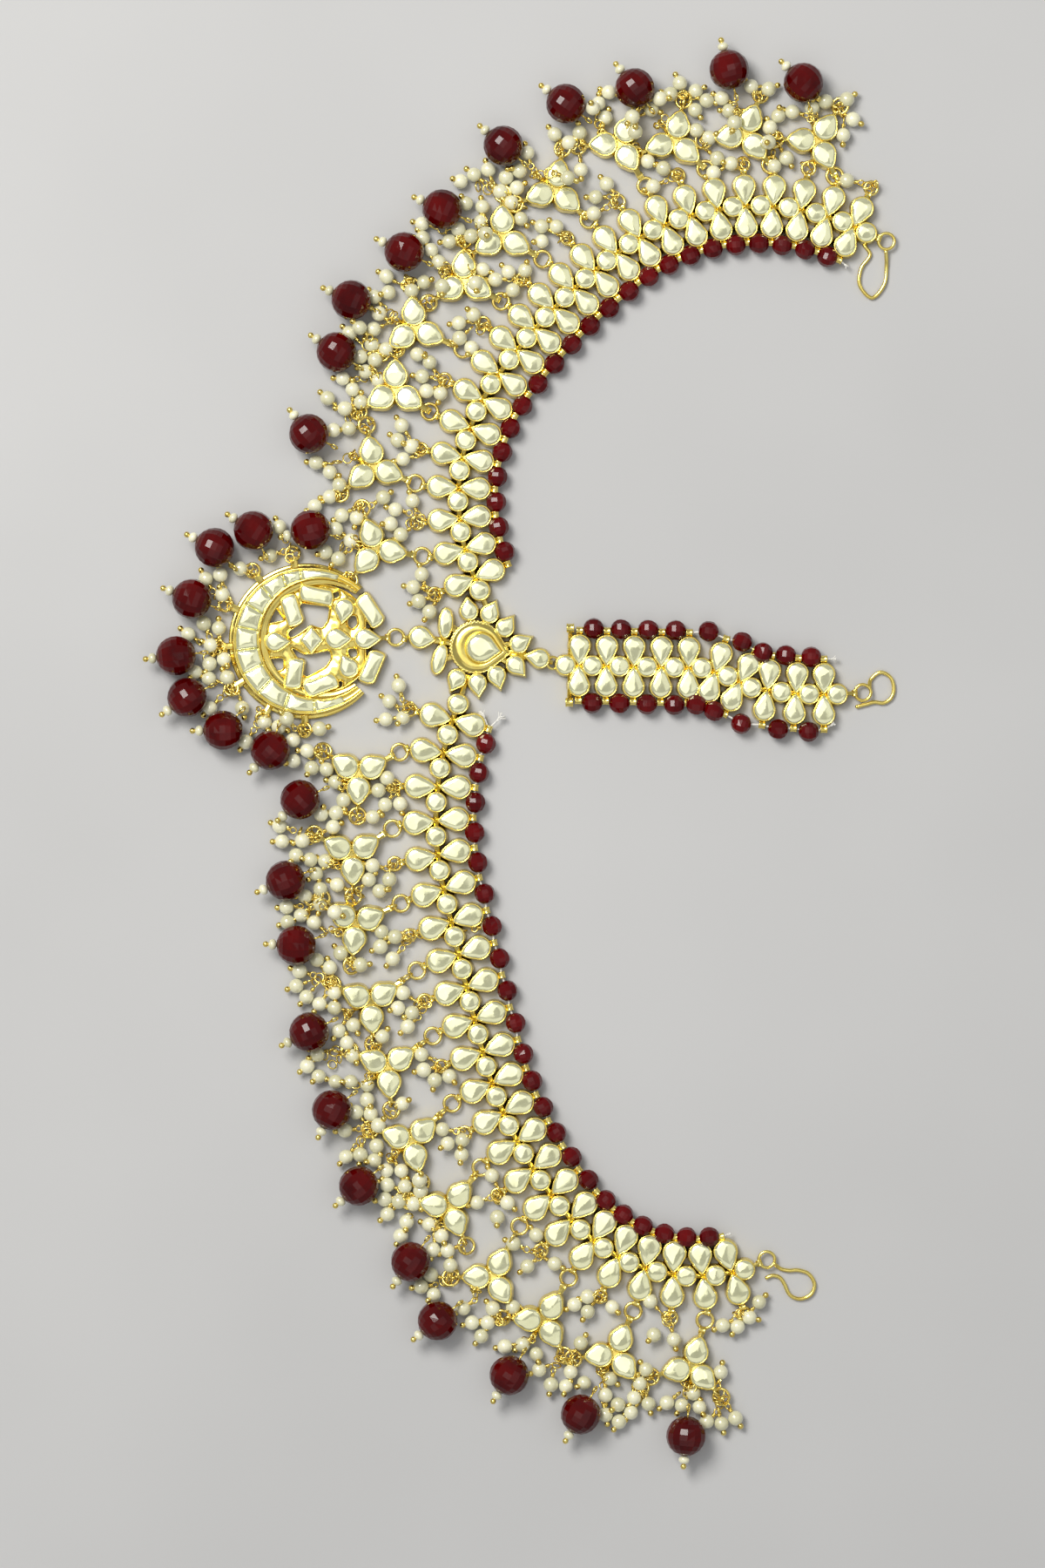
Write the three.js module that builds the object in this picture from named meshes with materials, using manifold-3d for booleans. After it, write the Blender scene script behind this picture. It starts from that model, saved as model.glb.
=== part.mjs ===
// Matha patti: a bridal head ornament of kundan stones, pearls and red beads, laid flat with its
// stones up. A crescent pendant (the tikka) hangs over the forehead, a star brooch joins it to a
// strap that runs back along the parting, and two arms of linked stones follow the hairline.
// Units are millimetres. +X runs from the forehead to the back of the head, +Y to the wearer's
// right arm, +Z out of the stones. The origin is the underside of the star brooch, on the surface
// that the piece lies on.
import * as THREE from 'three';
import { mergeVertices } from 'three/addons/utils/BufferGeometryUtils.js';
import Module from 'manifold-3d';

const wasm = await Module();
wasm.setup();

// ---------------------------------------------------------------- driving dimensions

const GAP = 0.35; // clearance between pieces that touch
const SETTING_TOP = 3.2; // height of a stone's gold setting
const TAB = 0.5; // how far a round stone's solder tab runs into the waist beside it
const BAR_WIDTH = 1.4; // gold bars that tie settings together
const PLATE = [0, 1.6]; // height of the plates and bars that tie settings together
const WIRE = [1.1, 1.9]; // height of jump rings and pearl wires

const LINK_STONE = { length: 8.1, width: 5.8 }; // teardrops of a band link
const ROUND_STONE = 5.5; // diameter of the round stone between links
const TREFOIL_STONE = { length: 7.7, width: 6.3, reach: 4.6 };
const TREFOIL_HEART = 7; // corner to corner of the six-sided plate that joins its three stones
const WAIST = 2.2; // where the tips of a link's teardrops are soldered together

// Slotted loop at the outer end of a link, so far beyond the stone, that a jump ring rides in.
const LUG = { stand: 0.95, reach: 1.3, width: 1.1, low: 0.3, high: 2.7, wall: 0.5 };
const RING = { mid: 2.1, wire: 0.8 }; // jump ring: radius of its wire's middle, wire thickness

const LARGE_BEAD = 10.3; // faceted red bead
const SMALL_BEAD = 5.1; // faceted red bead on the edge strings
const BEAD_OUT = 0.6; // how much further out the small beads sit than the tubes
const TUBE = { radius: 0.95, length: 1.8 }; // gold tube of the edge string at each link
const BUNCH = 2.4; // radius that a bunch of pearls fills
const LINK_BUNCH_HALF = 3.4; // half length of the bunch at a link's outer end
const TREFOIL_BUNCH = { angle: 51, reach: 10.2, half: 3 }; // bunch at each outer tip of a trefoil
const CROTCH = { reach: 4.4, askew: 0.1 }; // loop between those tips; askew is mm further a degree
const CROTCH_BUNCH = { radius: 1.8, share: 0.6 }; // its pearls end at this share of the bead's radius
const SEED = { length: 4.2, near: 1.3, far: 0.8, out: 1.7 }; // seed pearl and ball past a bead
const HOOK_WIRE = 1.0;
const SMOOTH = 0.002; // flats and edges truer than this are made one
const SIDES = { disc: 24, bead: [8, 4], seed: 5, wire: 5, ring: 6, string: 6 };

// Each band is a chain of links laid in smooth bends: a run has so many links of one pitch, each
// turned a few degrees from the one before. side is the direction of the pearls from the chain's
// own direction, and half is from the middle line to the centre of a teardrop.
const RIGHT_ARM = {
  start: [0.0, 14.6], heading: 112.4, side: 90, lean: 0, half: 4.4,
  runs: [
    { links: 8, pitch: 8.03, turn: -8.36 },
    { links: 6, pitch: 7.27, turn: -2.79 },
    { links: 9, pitch: 7.27, turn: -6.84 },
  ],
};
const LEFT_ARM = {
  start: [-5.8, -14.6], heading: -108.7, side: -90, lean: 5, half: 4.7,
  runs: [
    { links: 6, pitch: 8.94, turn: 6.26 },
    { links: 5, pitch: 8.72, turn: 0.34 },
    { links: 6, pitch: 8.27, turn: 4.55 },
    { links: 6, pitch: 7.7, turn: 10.09 },
  ],
};
const STRAP = {
  start: [22.2, -4.5], heading: -1.2, side: 90, lean: 0, half: 4.2,
  runs: [
    { links: 5, pitch: 7.15, turn: 0 },
    { links: 1, pitch: 7.1, turn: -16.8 },
    { links: 1, pitch: 6.9, turn: -8 },
    { links: 1, pitch: 7.9, turn: 18 },
    { links: 2, pitch: 7.3, turn: 4 },
  ],
};

// Gold plate on edge across the strap's front end, and the meeting point of star and strap.
const STRAP_PLATE = { from: [23.5, 5.2], to: [23.2, -14.2], width: 1.2 };
const STRAP_MEET = { at: [18.9, -3.9], gap: GAP };

// How each trefoil lies: hang and reach lead from its lug to its centre, bead and drop from there
// to its large red bead. bare is the side whose few pearls lie on a neighbour, so that no bunch
// stands there. Angles are in degrees from +X.
const RIGHT_TREFOILS = [
  { link: 2, hang: 170, reach: 14.2, bead: 165, drop: 17.7, bare: 1 },
  { link: 4, hang: 159, reach: 13.9, bead: 153, drop: 18.7 },
  { link: 6, hang: 149, reach: 12.5, bead: 147, drop: 18.3, bare: -1 },
  { link: 8, hang: 156, reach: 15.6, bead: 157, drop: 18.1 },
  { link: 10, hang: 151, reach: 12.9, bead: 155, drop: 17.4, bare: -1 },
  { link: 12, hang: 150, reach: 14.1, bead: 157, drop: 17.1, bare: 1 },
  { link: 14, hang: 139, reach: 13.9, bead: 140, drop: 17.5 },
  { link: 16, hang: 122, reach: 14.8, bead: 144, drop: 17.5, bare: -1 },
  { link: 18, hang: 138, reach: 12.9, bead: 128, drop: 17.1, bare: 1 },
  { link: 20, hang: 129, reach: 12.5, bead: 105, drop: 16.9 },
  { link: 22, hang: 117, reach: 12.2, bead: 104, drop: 15.4 },
];
const LEFT_TREFOILS = [
  { link: 2, hang: 208, reach: 14.1, bead: 204, drop: 16.7 },
  { link: 4, hang: 212, reach: 14.6, bead: 202, drop: 18.5 },
  { link: 6, hang: 204, reach: 15.0, bead: 200, drop: 16.4 },
  { link: 8, hang: 214, reach: 16.8, bead: 206, drop: 17.6 },
  { link: 10, hang: 215, reach: 16.5, bead: 217, drop: 18.1 },
  { link: 12, hang: 223, reach: 16.6, bead: 220, drop: 17.8 },
  { link: 14, hang: 232, reach: 15.0, bead: 234, drop: 17.5 },
  { link: 16, hang: 242, reach: 16.9, bead: 218, drop: 18.3, bare: 1 },
  { link: 18, hang: 239, reach: 14.5, bead: 238, drop: 17.1 },
  { link: 20, hang: 247, reach: 14.1, bead: 240, drop: 18.0 },
  { link: 22, hang: 254, reach: 14.6, bead: 265, drop: 17.9 },
];

// The star brooch, in its own axes, turned STAR_TURN degrees about Z. Stones lie in mirror pairs.
const STAR_TURN = -10;
const STAR_CENTRE = { length: 16.2, width: 13.9, top: 4.6 };
const STAR_STONE = { x: 0.9, length: 8.9, width: 7.2, top: 5.6 };
const STAR_PLATE = { length: 19, width: 18.4 }; // plate under the whole star
const STAR_TO_ARM = 4; // length of the lug from the star to each arm
const STAR_PETALS = [
  { x: -4.8, y: 9.6, tip: 107 },
  { x: 1.0, y: 9.8, tip: 74 },
  { x: 5.7, y: 6.9, tip: 64 },
  { x: 10.3, y: 3.2, tip: 39 },
];
const PETAL = { length: 6.5, width: 5.0 };
const STAR_OVALS = { x: -10.0, y: 4.8, length: 8.5, width: 4.1, splay: 6 };
const STAR_FRONT = { x: -15.3, length: 7.3, width: 5.9 };
const STAR_BACK = { x: 14.9, length: 7.0, width: 5.2 };

// The crescent pendant, from the centre of its outer circle.
const CRESCENT_AT = [-45.4, 1.8];
const CRESCENT = { radius: 20.3, topRadius: 18.4, top: 3.6, horn: 14.2 };
const HOLLOW = { x: 3.4, y: 0.55, radius: 13.7 };
const CRESCENT_LOOPS = { first: 99, step: 28.3, count: 7, end: 22.0, width: 1.7 };
const CRESCENT_TEARDROPS = [
  { x: -7.3, y: -0.2, length: 6.4, width: 5.0, tip: 0 },
  { x: 8.5, y: 0.6, length: 6.6, width: 5.4, tip: 0 },
  { x: 16.1, y: 0.6, length: 6.6, width: 5.2, tip: 0 },
  { x: 9.7, y: 7.7, length: 6.4, width: 5.0, tip: -100 },
  { x: 10.7, y: -6.3, length: 6.2, width: 5.0, tip: 118 },
];
const CRESCENT_BAGUETTES = [
  { x: -3.8, y: 8.0, length: 8.0, width: 4.2, axis: 108 },
  { x: -3.1, y: -8.5, length: 8.0, width: 4.2, axis: 82 },
  { x: 2.6, y: 11.9, length: 8.9, width: 4.0, axis: -11 },
  { x: 3.8, y: -11.5, length: 8.9, width: 4.0, axis: 21 },
  { x: 16.6, y: 8.0, length: 8.9, width: 4.0, axis: -57 },
  { x: 17.1, y: -6.8, length: 8.9, width: 4.0, axis: 67 },
];
const CRESCENT_KITE = { x: 1.3, y: 0.3, length: 5.4, width: 6.9 };
// The plate that its inner stones stand on, up to x = right, and the holes pierced through it.
const OPENWORK = { radius: 14.2, right: 15.6, height: [0, 2.3] };
const OPENWORK_HOLES = [
  [[-9.8, 7.0], [-8.6, 9.1], [-5.9, 5.5], [-10.5, 4.5]],
  [[-10.5, -4.8], [-6.1, -4.5], [-6.1, -7.3], [-8.9, -8.0]],
  [[-1.6, 9.8], [5.9, 8.9], [5.5, 5.5], [4.1, 3.4], [1.1, 4.3], [-1.6, 2.2], [-4.2, 0.8], [-4.8, 2.2],
    [-1.6, 4.5]],
  [[-3.9, -1.8], [-0.5, -3.7], [2.7, -3.2], [5.9, -2.5], [6.4, -4.3], [5.0, -6.6], [0.0, -9.3],
    [-1.6, -7.7], [-2.0, -4.8]],
  [[6.3, 12.2], [8.3, 13.0], [8.6, 11.6], [6.9, 11.0]],
  [[11.0, 6.4], [12.9, 6.6], [13.2, 4.2], [11.8, 3.2], [10.8, 4.4]],
  [[10.8, -2.2], [13.0, -2.0], [13.2, -4.0], [11.4, -4.4]],
  [[7.2, -10.8], [9.4, -10.4], [9.2, -12.2], [7.4, -12.4]],
];

// The crescent's fringe: a thick fan of pearls round the rim, with large beads beyond it.
const FRINGE = { inner: 22.4, outer: 31, first: 104, last: 262, low: 0, high: 4.4, steps: 10 };
const FRINGE_BEADS = [
  { angle: 115.5, reach: 31.8 },
  { angle: 134.5, reach: 34.0 },
  { angle: 159.8, reach: 31.7 },
  { angle: 186.5, reach: 34.1 },
  { angle: 205.4, reach: 34.3 },
  { angle: 227.2, reach: 31.8 },
  { angle: 252.0, reach: 30.0 },
];

// The ring between crescent and star, and the S-shaped hooks at the three free ends. A hook's lug
// stands on the last round stone, its eye rides in the lug, and its wire runs through the points.
const TIKKA_RING = [-22.1, 2.8];
const HOOKS = [
  {
    name: 'right_hook', arm: RIGHT_ARM, lug: 3.6, heading: -22,
    wire: [[105.9, 103.9], [106.1, 99.8], [105.5, 94.9], [102.3, 91.5], [99.1, 94.8],
      [99.5, 99.2], [101.8, 102.6], [100.3, 105.2]],
  },
  {
    name: 'left_hook', arm: LEFT_ARM, lug: 3.8, heading: 24,
    wire: [[76.6, -160.6], [78.4, -162.1], [80.6, -162.6], [83.0, -162.5], [85.8, -163.5],
      [87.3, -166.3], [86.2, -169.0], [83.4, -170.0], [80.8, -168.9], [79.4, -166.1],
      [78.2, -164.4], [76.4, -163.9], [74.8, -164.5]],
  },
  {
    name: 'strap_hook', arm: STRAP, lug: 4.5, heading: 4,
    wire: [[101.6, -10.5], [102.0, -8.2], [104.5, -6.3], [107.1, -7.6], [108.0, -10.4],
      [107.4, -12.9], [105.4, -14.3], [103.0, -14.1], [101.0, -14.6], [98.4, -15.3]],
  },
];
const HOOK_HEIGHTS = [1.5, 0.55]; // of the wire's middle, at its eye and from there on

// ---------------------------------------------------------------- solids

const radians = THREE.MathUtils.degToRad;

function ahead([x, y], degrees, distance) {
  return [x + distance * Math.cos(radians(degrees)), y + distance * Math.sin(radians(degrees))];
}

// A manifold solid from a closed three.js geometry, moved to its place.
function solid(geometry, [x, y, z] = [0, 0, 0], turn = 0) {
  const bare = geometry.clone().rotateZ(radians(turn)).translate(x, y, z);
  bare.deleteAttribute('normal');
  bare.deleteAttribute('uv');
  const merged = mergeVertices(bare, 1e-5);
  return new wasm.Manifold(new wasm.Mesh({
    numProp: 3,
    vertProperties: new Float32Array(merged.attributes.position.array),
    triVerts: new Uint32Array(merged.index.array),
  }));
}

const join = (solids) => solids.reduce((whole, next) => whole.add(next)).asOriginal().simplify(SMOOTH);

function geometryOf(manifold) {
  const { vertProperties, triVerts } = manifold.getMesh();
  const geometry = new THREE.BufferGeometry();
  geometry.setAttribute('position', new THREE.BufferAttribute(vertProperties, 3));
  geometry.setIndex(new THREE.BufferAttribute(triVerts, 1));
  return geometry;
}

// An upright prism over an outline, from z = low to z = high.
function prism(points, low, high) {
  const shape = new THREE.Shape(points.map(([x, y]) => new THREE.Vector2(x, y)));
  const geometry = new THREE.ExtrudeGeometry(shape, { depth: high - low, bevelEnabled: false });
  return geometry.translate(0, 0, low);
}

// Corners of a teardrop's side behind its tip, and its blunt end, as parts of its length and width.
const TEARDROP_END = 0.45;
const TEARDROP_SIDE = [[-0.04, 0.5], [-TEARDROP_END, 0.28]];

// Outline of a teardrop about its middle, with its tip at +x.
function teardrop({ length, width }) {
  const upper = TEARDROP_SIDE.map(([x, y]) => [x * length, y * width]);
  const lower = TEARDROP_SIDE.map(([x, y]) => [x * length, -y * width]).reverse();
  return [[0.5 * length, 0], ...upper, ...lower];
}

// Outline of two teardrops tip to tip along y, so far from the middle line to their centres.
function bowTie({ length, width }, half) {
  const side = TEARDROP_SIDE.map(([x, y]) => [y * width, half - x * length]);
  const right = [...side.map(([x, y]) => [x, -y]).reverse(), [WAIST / 2, 0], ...side];
  return [...right, ...right.map(([x, y]) => [-x, -y])];
}

// Outline of an oval or a lozenge with so many corners.
function oval({ length, width }, corners) {
  return Array.from({ length: corners }, (_, i) => {
    const angle = ((i + 0.5) * 2 * Math.PI) / corners;
    return [0.5 * length * Math.cos(angle), 0.5 * width * Math.sin(angle)];
  });
}

// Outline of a baguette stone, with cut corners at two opposite ends.
function baguette({ length, width }) {
  const [x, y] = [length / 2, width / 2];
  return [[x, y * 0.3], [x * 0.8, y], [-x, y], [-x, -y * 0.3], [-x * 0.8, -y], [x, -y]];
}

// A straight bar between two points of the plan.
function bar(from, to, width, [low, high]) {
  const [dx, dy] = [to[0] - from[0], to[1] - from[1]];
  const geometry = new THREE.BoxGeometry(Math.hypot(dx, dy), width, high - low);
  const middle = [(from[0] + to[0]) / 2, (from[1] + to[1]) / 2, (low + high) / 2];
  return solid(geometry, middle, THREE.MathUtils.radToDeg(Math.atan2(dy, dx)));
}

function ball(radius, at, [around, up]) {
  return solid(new THREE.SphereGeometry(radius, around, up).rotateX(Math.PI / 2), at);
}

const ICOSAHEDRON_REACH = 0.8507; // along an axis, for a radius of 1

// A bunch of pearls, as the outer form that they fill, so long on each side of its middle.
function bunch(at, heading = 0, radius = BUNCH, half = BUNCH) {
  const form = new THREE.IcosahedronGeometry(1).scale(half, radius, radius);
  return solid(form, [...at, radius], heading);
}

// A jump ring lying flat, six-sided, with its flats square to its heading.
function jumpRing(at, heading = 0) {
  const corner = 1 / Math.cos(Math.PI / SIDES.ring);
  const [inner, outer] = [-1, 1].map((side) => corner * (RING.mid + (side * RING.wire) / 2));
  const [low, high] = WIRE;
  const corners = [[inner, low], [outer, low], [outer, high], [inner, high], [inner, low]];
  const profile = corners.map(([radius, height]) => new THREE.Vector2(radius, height));
  return solid(new THREE.LatheGeometry(profile, SIDES.ring).rotateX(Math.PI / 2), [...at, 0], heading);
}

// A lug: a block with a slot right across it, through which the wire of a jump ring passes.
function lug(root, at, heading) {
  const block = bar(ahead(at, heading, -LUG.reach), ahead(at, heading, LUG.reach), LUG.width,
    [LUG.low, LUG.high]);
  const inside = LUG.reach - LUG.wall;
  const slot = bar(ahead(at, heading, -inside), ahead(at, heading, inside), 3 * LUG.width,
    [LUG.low + LUG.wall, LUG.high - LUG.wall]);
  const stem = bar(root, ahead(at, heading, -inside - LUG.wall / 2), LUG.width, [LUG.low, LUG.high]);
  return join([block.subtract(slot), stem]);
}

// ---------------------------------------------------------------- bands

// The links of a band: both ends of each on the middle line, its middle, and its outward heading.
function linksOf(band) {
  const links = [];
  let at = band.start;
  let heading = band.heading;
  for (const run of band.runs) {
    for (let i = 0; i < run.links; i += 1) {
      if (links.length > 0) heading += run.turn;
      const end = ahead(at, heading, run.pitch);
      links.push({
        number: links.length + 1,
        from: at,
        to: end,
        middle: ahead(at, heading, run.pitch / 2),
        heading,
        out: heading + band.side + band.lean,
      });
      at = end;
    }
  }
  return links;
}

const tipOf = (band) => band.half + LINK_STONE.length / 2;
const lugOf = (band, link) => ahead(link.middle, link.out, tipOf(band) + LUG.stand);

// One link: two teardrops tip to tip across the band, the round stone at its start, and its plate.
function linkSolid(band, link, first = false) {
  return join([
    solid(prism(bowTie(LINK_STONE, band.half), 0, SETTING_TOP), [...link.middle, 0], link.out - 90),
    roundStone(link.from, link.to, link.heading, first),
  ]);
}

// A round stone with the solder tabs that tie it to the waists of the links on both sides, or to
// the next one alone on the first link of a solid.
function roundStone(at, toward, heading, first = false) {
  const room = (Math.hypot(toward[0] - at[0], toward[1] - at[1]) - WAIST) / 2;
  const tip = room + TAB;
  const back = first ? room - GAP : tip;
  const side = [[0.2 * ROUND_STONE, 0.5 * ROUND_STONE], [-0.2 * ROUND_STONE, 0.5 * ROUND_STONE]];
  const outline = [[tip, 0], ...side, [-back, 0], ...side.map(([x, y]) => [-x, -y])];
  return solid(prism(outline, 0, SETTING_TOP), [...at, 0], heading);
}

// A pearl bunch hanging straight off a link's outer end.
function linkBunch(band, link) {
  const at = ahead(link.middle, link.out, tipOf(band) + BUNCH - GAP);
  return bunch(at, link.out, BUNCH, LINK_BUNCH_HALF);
}

// Links first..last of an arm, as one solid.
function armSolid(band, trefoils, first, last) {
  const links = linksOf(band);
  const solids = [];
  for (const link of links.slice(first - 1, last)) {
    solids.push(linkSolid(band, link, link.number === first));
    const trefoil = trefoils.find((row) => row.link === link.number);
    const root = ahead(link.middle, link.out, band.half);
    if (trefoil) solids.push(lug(root, lugOf(band, link), trefoil.hang));
    else solids.push(linkBunch(band, link));
  }
  if (last === links.length) solids.push(bandEnd(band));
  return join(solids);
}

// The last round stone of a band, with the lug that its hook rides in.
function bandEnd(band) {
  const last = linksOf(band).at(-1);
  const end = last.to;
  const hook = HOOKS.find((row) => row.arm === band);
  const tip = ahead(end, hook.heading, hook.lug);
  return join([roundStone(end, last.from, last.heading), lug(end, tip, hook.heading)]);
}

function strapSolid() {
  const links = linksOf(STRAP).map((link) => linkSolid(STRAP, link));
  const [x, y] = STRAP_MEET.at;
  const front = bar(STRAP.start, [x + STRAP_MEET.gap, y], LUG.width, PLATE);
  const plate = bar(STRAP_PLATE.from, STRAP_PLATE.to, STRAP_PLATE.width, [0, SETTING_TOP]);
  return join([...links, front, plate, bandEnd(STRAP)]);
}

// The edge string: a gold tube against each link's end and a small bead between each two, on one
// thread, as one turned form that follows it. side is -1 for the inner edge and 1 for the outer.
function stringSolid(band, side) {
  const links = linksOf(band);
  const reach = band.half + TEARDROP_END * LINK_STONE.length + GAP + TUBE.radius;
  const rings = [];
  links.forEach((link, i) => {
    const tube = ahead(link.middle, link.out, side * reach);
    if (i > 0) {
      const out = (link.out + links[i - 1].out) / 2;
      rings.push({ at: ahead(link.from, out, side * (reach + BEAD_OUT)), radius: SMALL_BEAD / 2 });
    }
    for (const end of [-0.5, 0.5]) {
      rings.push({ at: ahead(tube, link.heading, end * TUBE.length), radius: TUBE.radius });
    }
  });
  return solid(turnedAlong(rings, SIDES.string), [0, 0, SMALL_BEAD / 2]);
}

// A closed form of rings along a route in the plan, each ring upright and square to the route.
function turnedAlong(rings, sides) {
  const positions = [];
  const indices = [];
  rings.forEach(({ at, radius }, i) => {
    const before = rings[Math.max(i - 1, 0)].at;
    const after = rings[Math.min(i + 1, rings.length - 1)].at;
    const heading = Math.atan2(after[1] - before[1], after[0] - before[0]);
    for (let k = 0; k < sides; k += 1) {
      const angle = ((k + 0.5) * 2 * Math.PI) / sides;
      const across = radius * Math.cos(angle);
      positions.push(at[0] - across * Math.sin(heading), at[1] + across * Math.cos(heading),
        radius * Math.sin(angle));
      const [a, b] = [i * sides + k, i * sides + ((k + 1) % sides)];
      if (i > 0) indices.push(a, a - sides, b, b, a - sides, b - sides);
    }
  });
  const end = (rings.length - 1) * sides;
  for (let k = 2; k < sides; k += 1) {
    indices.push(0, k, k - 1);
    indices.push(end, end + k - 1, end + k);
  }
  const geometry = new THREE.BufferGeometry();
  geometry.setAttribute('position', new THREE.Float32BufferAttribute(positions, 3));
  geometry.setIndex(indices);
  return geometry;
}

// ---------------------------------------------------------------- trefoils and their beads

// A trefoil in its own axes: +x leads away from the band, and turned is the bead's direction.
function trefoilSolid(row) {
  const turned = row.bead - row.hang;
  const { reach } = TREFOIL_STONE;
  const stone = prism(teardrop(TREFOIL_STONE), 0, SETTING_TOP);
  const ring = [RING.mid - row.reach, 0];
  const solids = [
    ...[60, 180, 300].map((angle) => solid(stone, [...ahead([0, 0], angle, reach), 0], angle)),
    solid(prism(oval({ length: TREFOIL_HEART, width: TREFOIL_HEART }, 6), 0, SETTING_TOP)),
    jumpRing(ring),
    bar([-reach, 0], [ring[0] + RING.mid, 0], LUG.width, WIRE),
    bar([0, 0], ahead([0, 0], turned, crotchOf(row)), LUG.width, PLATE),
  ];
  for (const side of [1, -1].filter((each) => each !== row.bare)) {
    const at = ahead([0, 0], side * TREFOIL_BUNCH.angle, TREFOIL_BUNCH.reach);
    solids.push(bunch(at, 0, BUNCH, TREFOIL_BUNCH.half));
  }
  return join(solids);
}

// Reach of the loop between a trefoil's two outer stones, further out where the bead hangs askew.
const crotchOf = (row) => CROTCH.reach + CROTCH.askew * Math.abs(row.bead - row.hang);

// A large bead on its pin in its own axes: +x leads away from the trefoil, whose centre is drop
// behind it. A few pearls fill the crotch of the trefoil, and a seed pearl ends the pin.
function dropSolid(row) {
  const middle = LARGE_BEAD / 2;
  const near = crotchOf(row) + GAP - row.drop;
  const far = -CROTCH_BUNCH.share * middle;
  return join([
    ball(middle, [0, 0, middle], SIDES.bead),
    bunch([(near + far) / 2, 0], 0, CROTCH_BUNCH.radius, (far - near) / 2 / ICOSAHEDRON_REACH),
    solid(seedTail(), [middle + SEED.out, 0, middle]),
  ]);
}

// The seed pearl and gold ball at the end of a large bead's pin.
const seedTail = () => (
  new THREE.CylinderGeometry(SEED.far, SEED.near, SEED.length, SIDES.seed).rotateZ(-Math.PI / 2));

// ---------------------------------------------------------------- star, crescent, hooks

function starSolid() {
  const petal = prism(teardrop(PETAL), 0, SETTING_TOP);
  const side = prism(oval(STAR_OVALS, 8), 0, SETTING_TOP);
  const solids = [
    solid(prism(teardrop(STAR_CENTRE), 0, STAR_CENTRE.top)),
    solid(prism(teardrop(STAR_STONE), SETTING_TOP, STAR_STONE.top), [STAR_STONE.x, 0, 0]),
    solid(prism(oval(STAR_PLATE, 10), 0, SETTING_TOP)),
    solid(prism(teardrop(STAR_FRONT), 0, SETTING_TOP), [STAR_FRONT.x, 0, 0]),
    solid(prism(teardrop(STAR_BACK), 0, SETTING_TOP), [STAR_BACK.x, 0, 0], 180),
    bar([STAR_FRONT.x, 0], [STAR_BACK.x, 0], BAR_WIDTH, [0, SETTING_TOP]),
  ];
  for (const mirror of [1, -1]) {
    solids.push(solid(side, [STAR_OVALS.x, mirror * STAR_OVALS.y, 0], 90 + mirror * STAR_OVALS.splay));
    for (const row of STAR_PETALS) {
      solids.push(solid(petal, [row.x, mirror * row.y, 0], mirror * row.tip));
    }
  }
  const turned = join(solids).rotate([0, 0, STAR_TURN]);
  const toArms = [RIGHT_ARM, LEFT_ARM].map((band) => {
    const tab = (band.runs[0].pitch - WAIST) / 2;
    const ends = [tab + STAR_TO_ARM, tab].map((back) => ahead(band.start, band.heading, -back));
    return bar(...ends, LUG.width, PLATE);
  });
  const front = ahead([0, 0], STAR_TURN + 180, -STAR_FRONT.x);
  const back = ahead([0, 0], STAR_TURN, STAR_BACK.x);
  return join([
    turned,
    ...toArms,
    jumpRing(TIKKA_RING),
    bar(front, ahead(TIKKA_RING, STAR_TURN, RING.mid), LUG.width, WIRE),
    bar(back, STRAP_MEET.at, LUG.width, PLATE),
  ]);
}

function crescentSolid() {
  const { radius, topRadius, top, horn } = CRESCENT;
  const disc = new THREE.CylinderGeometry(topRadius, radius, top, SIDES.disc).rotateX(Math.PI / 2);
  const hollow = new THREE.CylinderGeometry(HOLLOW.radius, HOLLOW.radius, 3 * top, SIDES.disc)
    .rotateX(Math.PI / 2);
  const mouth = new THREE.BoxGeometry(2 * radius, 2 * radius, 3 * top);
  const frame = solid(disc, [0, 0, top / 2])
    .subtract(solid(hollow, [HOLLOW.x, HOLLOW.y, 0]))
    .subtract(solid(mouth, [horn + radius, 0, 0]));
  const solids = [frame];
  for (const row of CRESCENT_TEARDROPS) {
    solids.push(solid(prism(teardrop(row), 0, SETTING_TOP), [row.x, row.y, 0], row.tip));
  }
  for (const row of CRESCENT_BAGUETTES) {
    solids.push(solid(prism(baguette(row), 0, SETTING_TOP), [row.x, row.y, 0], row.axis));
  }
  const kite = [[0.5, 0], [0, 0.5], [-0.5, 0], [0, -0.5]]
    .map(([x, y]) => [x * CRESCENT_KITE.length, y * CRESCENT_KITE.width]);
  solids.push(solid(prism(kite, 0, SETTING_TOP), [CRESCENT_KITE.x, CRESCENT_KITE.y, 0]));
  solids.push(openwork());
  for (let i = 0; i < CRESCENT_LOOPS.count; i += 1) {
    const angle = CRESCENT_LOOPS.first + i * CRESCENT_LOOPS.step;
    const ends = [topRadius, CRESCENT_LOOPS.end].map((reach) => ahead([0, 0], angle, reach));
    solids.push(bar(...ends, CRESCENT_LOOPS.width, PLATE));
  }
  const toRing = [TIKKA_RING[0] - CRESCENT_AT[0] - RING.mid, TIKKA_RING[1] - CRESCENT_AT[1]];
  const last = CRESCENT_TEARDROPS[2];
  solids.push(lug([last.x, last.y], toRing, 0));
  return join(solids);
}

// The plate inside the crescent, pierced right through.
function openwork() {
  const { radius, right, height: [low, high] } = OPENWORK;
  const round = oval({ length: 2 * radius, width: 2 * radius }, SIDES.disc)
    .map(([x, y]) => [Math.min(x + HOLLOW.x, right), y + HOLLOW.y]);
  const plate = solid(prism(round, low, high));
  const pierce = (left, hole) => left.subtract(solid(prism(hole, low - 1, high + 1)));
  return OPENWORK_HOLES.reduce(pierce, plate);
}

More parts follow.
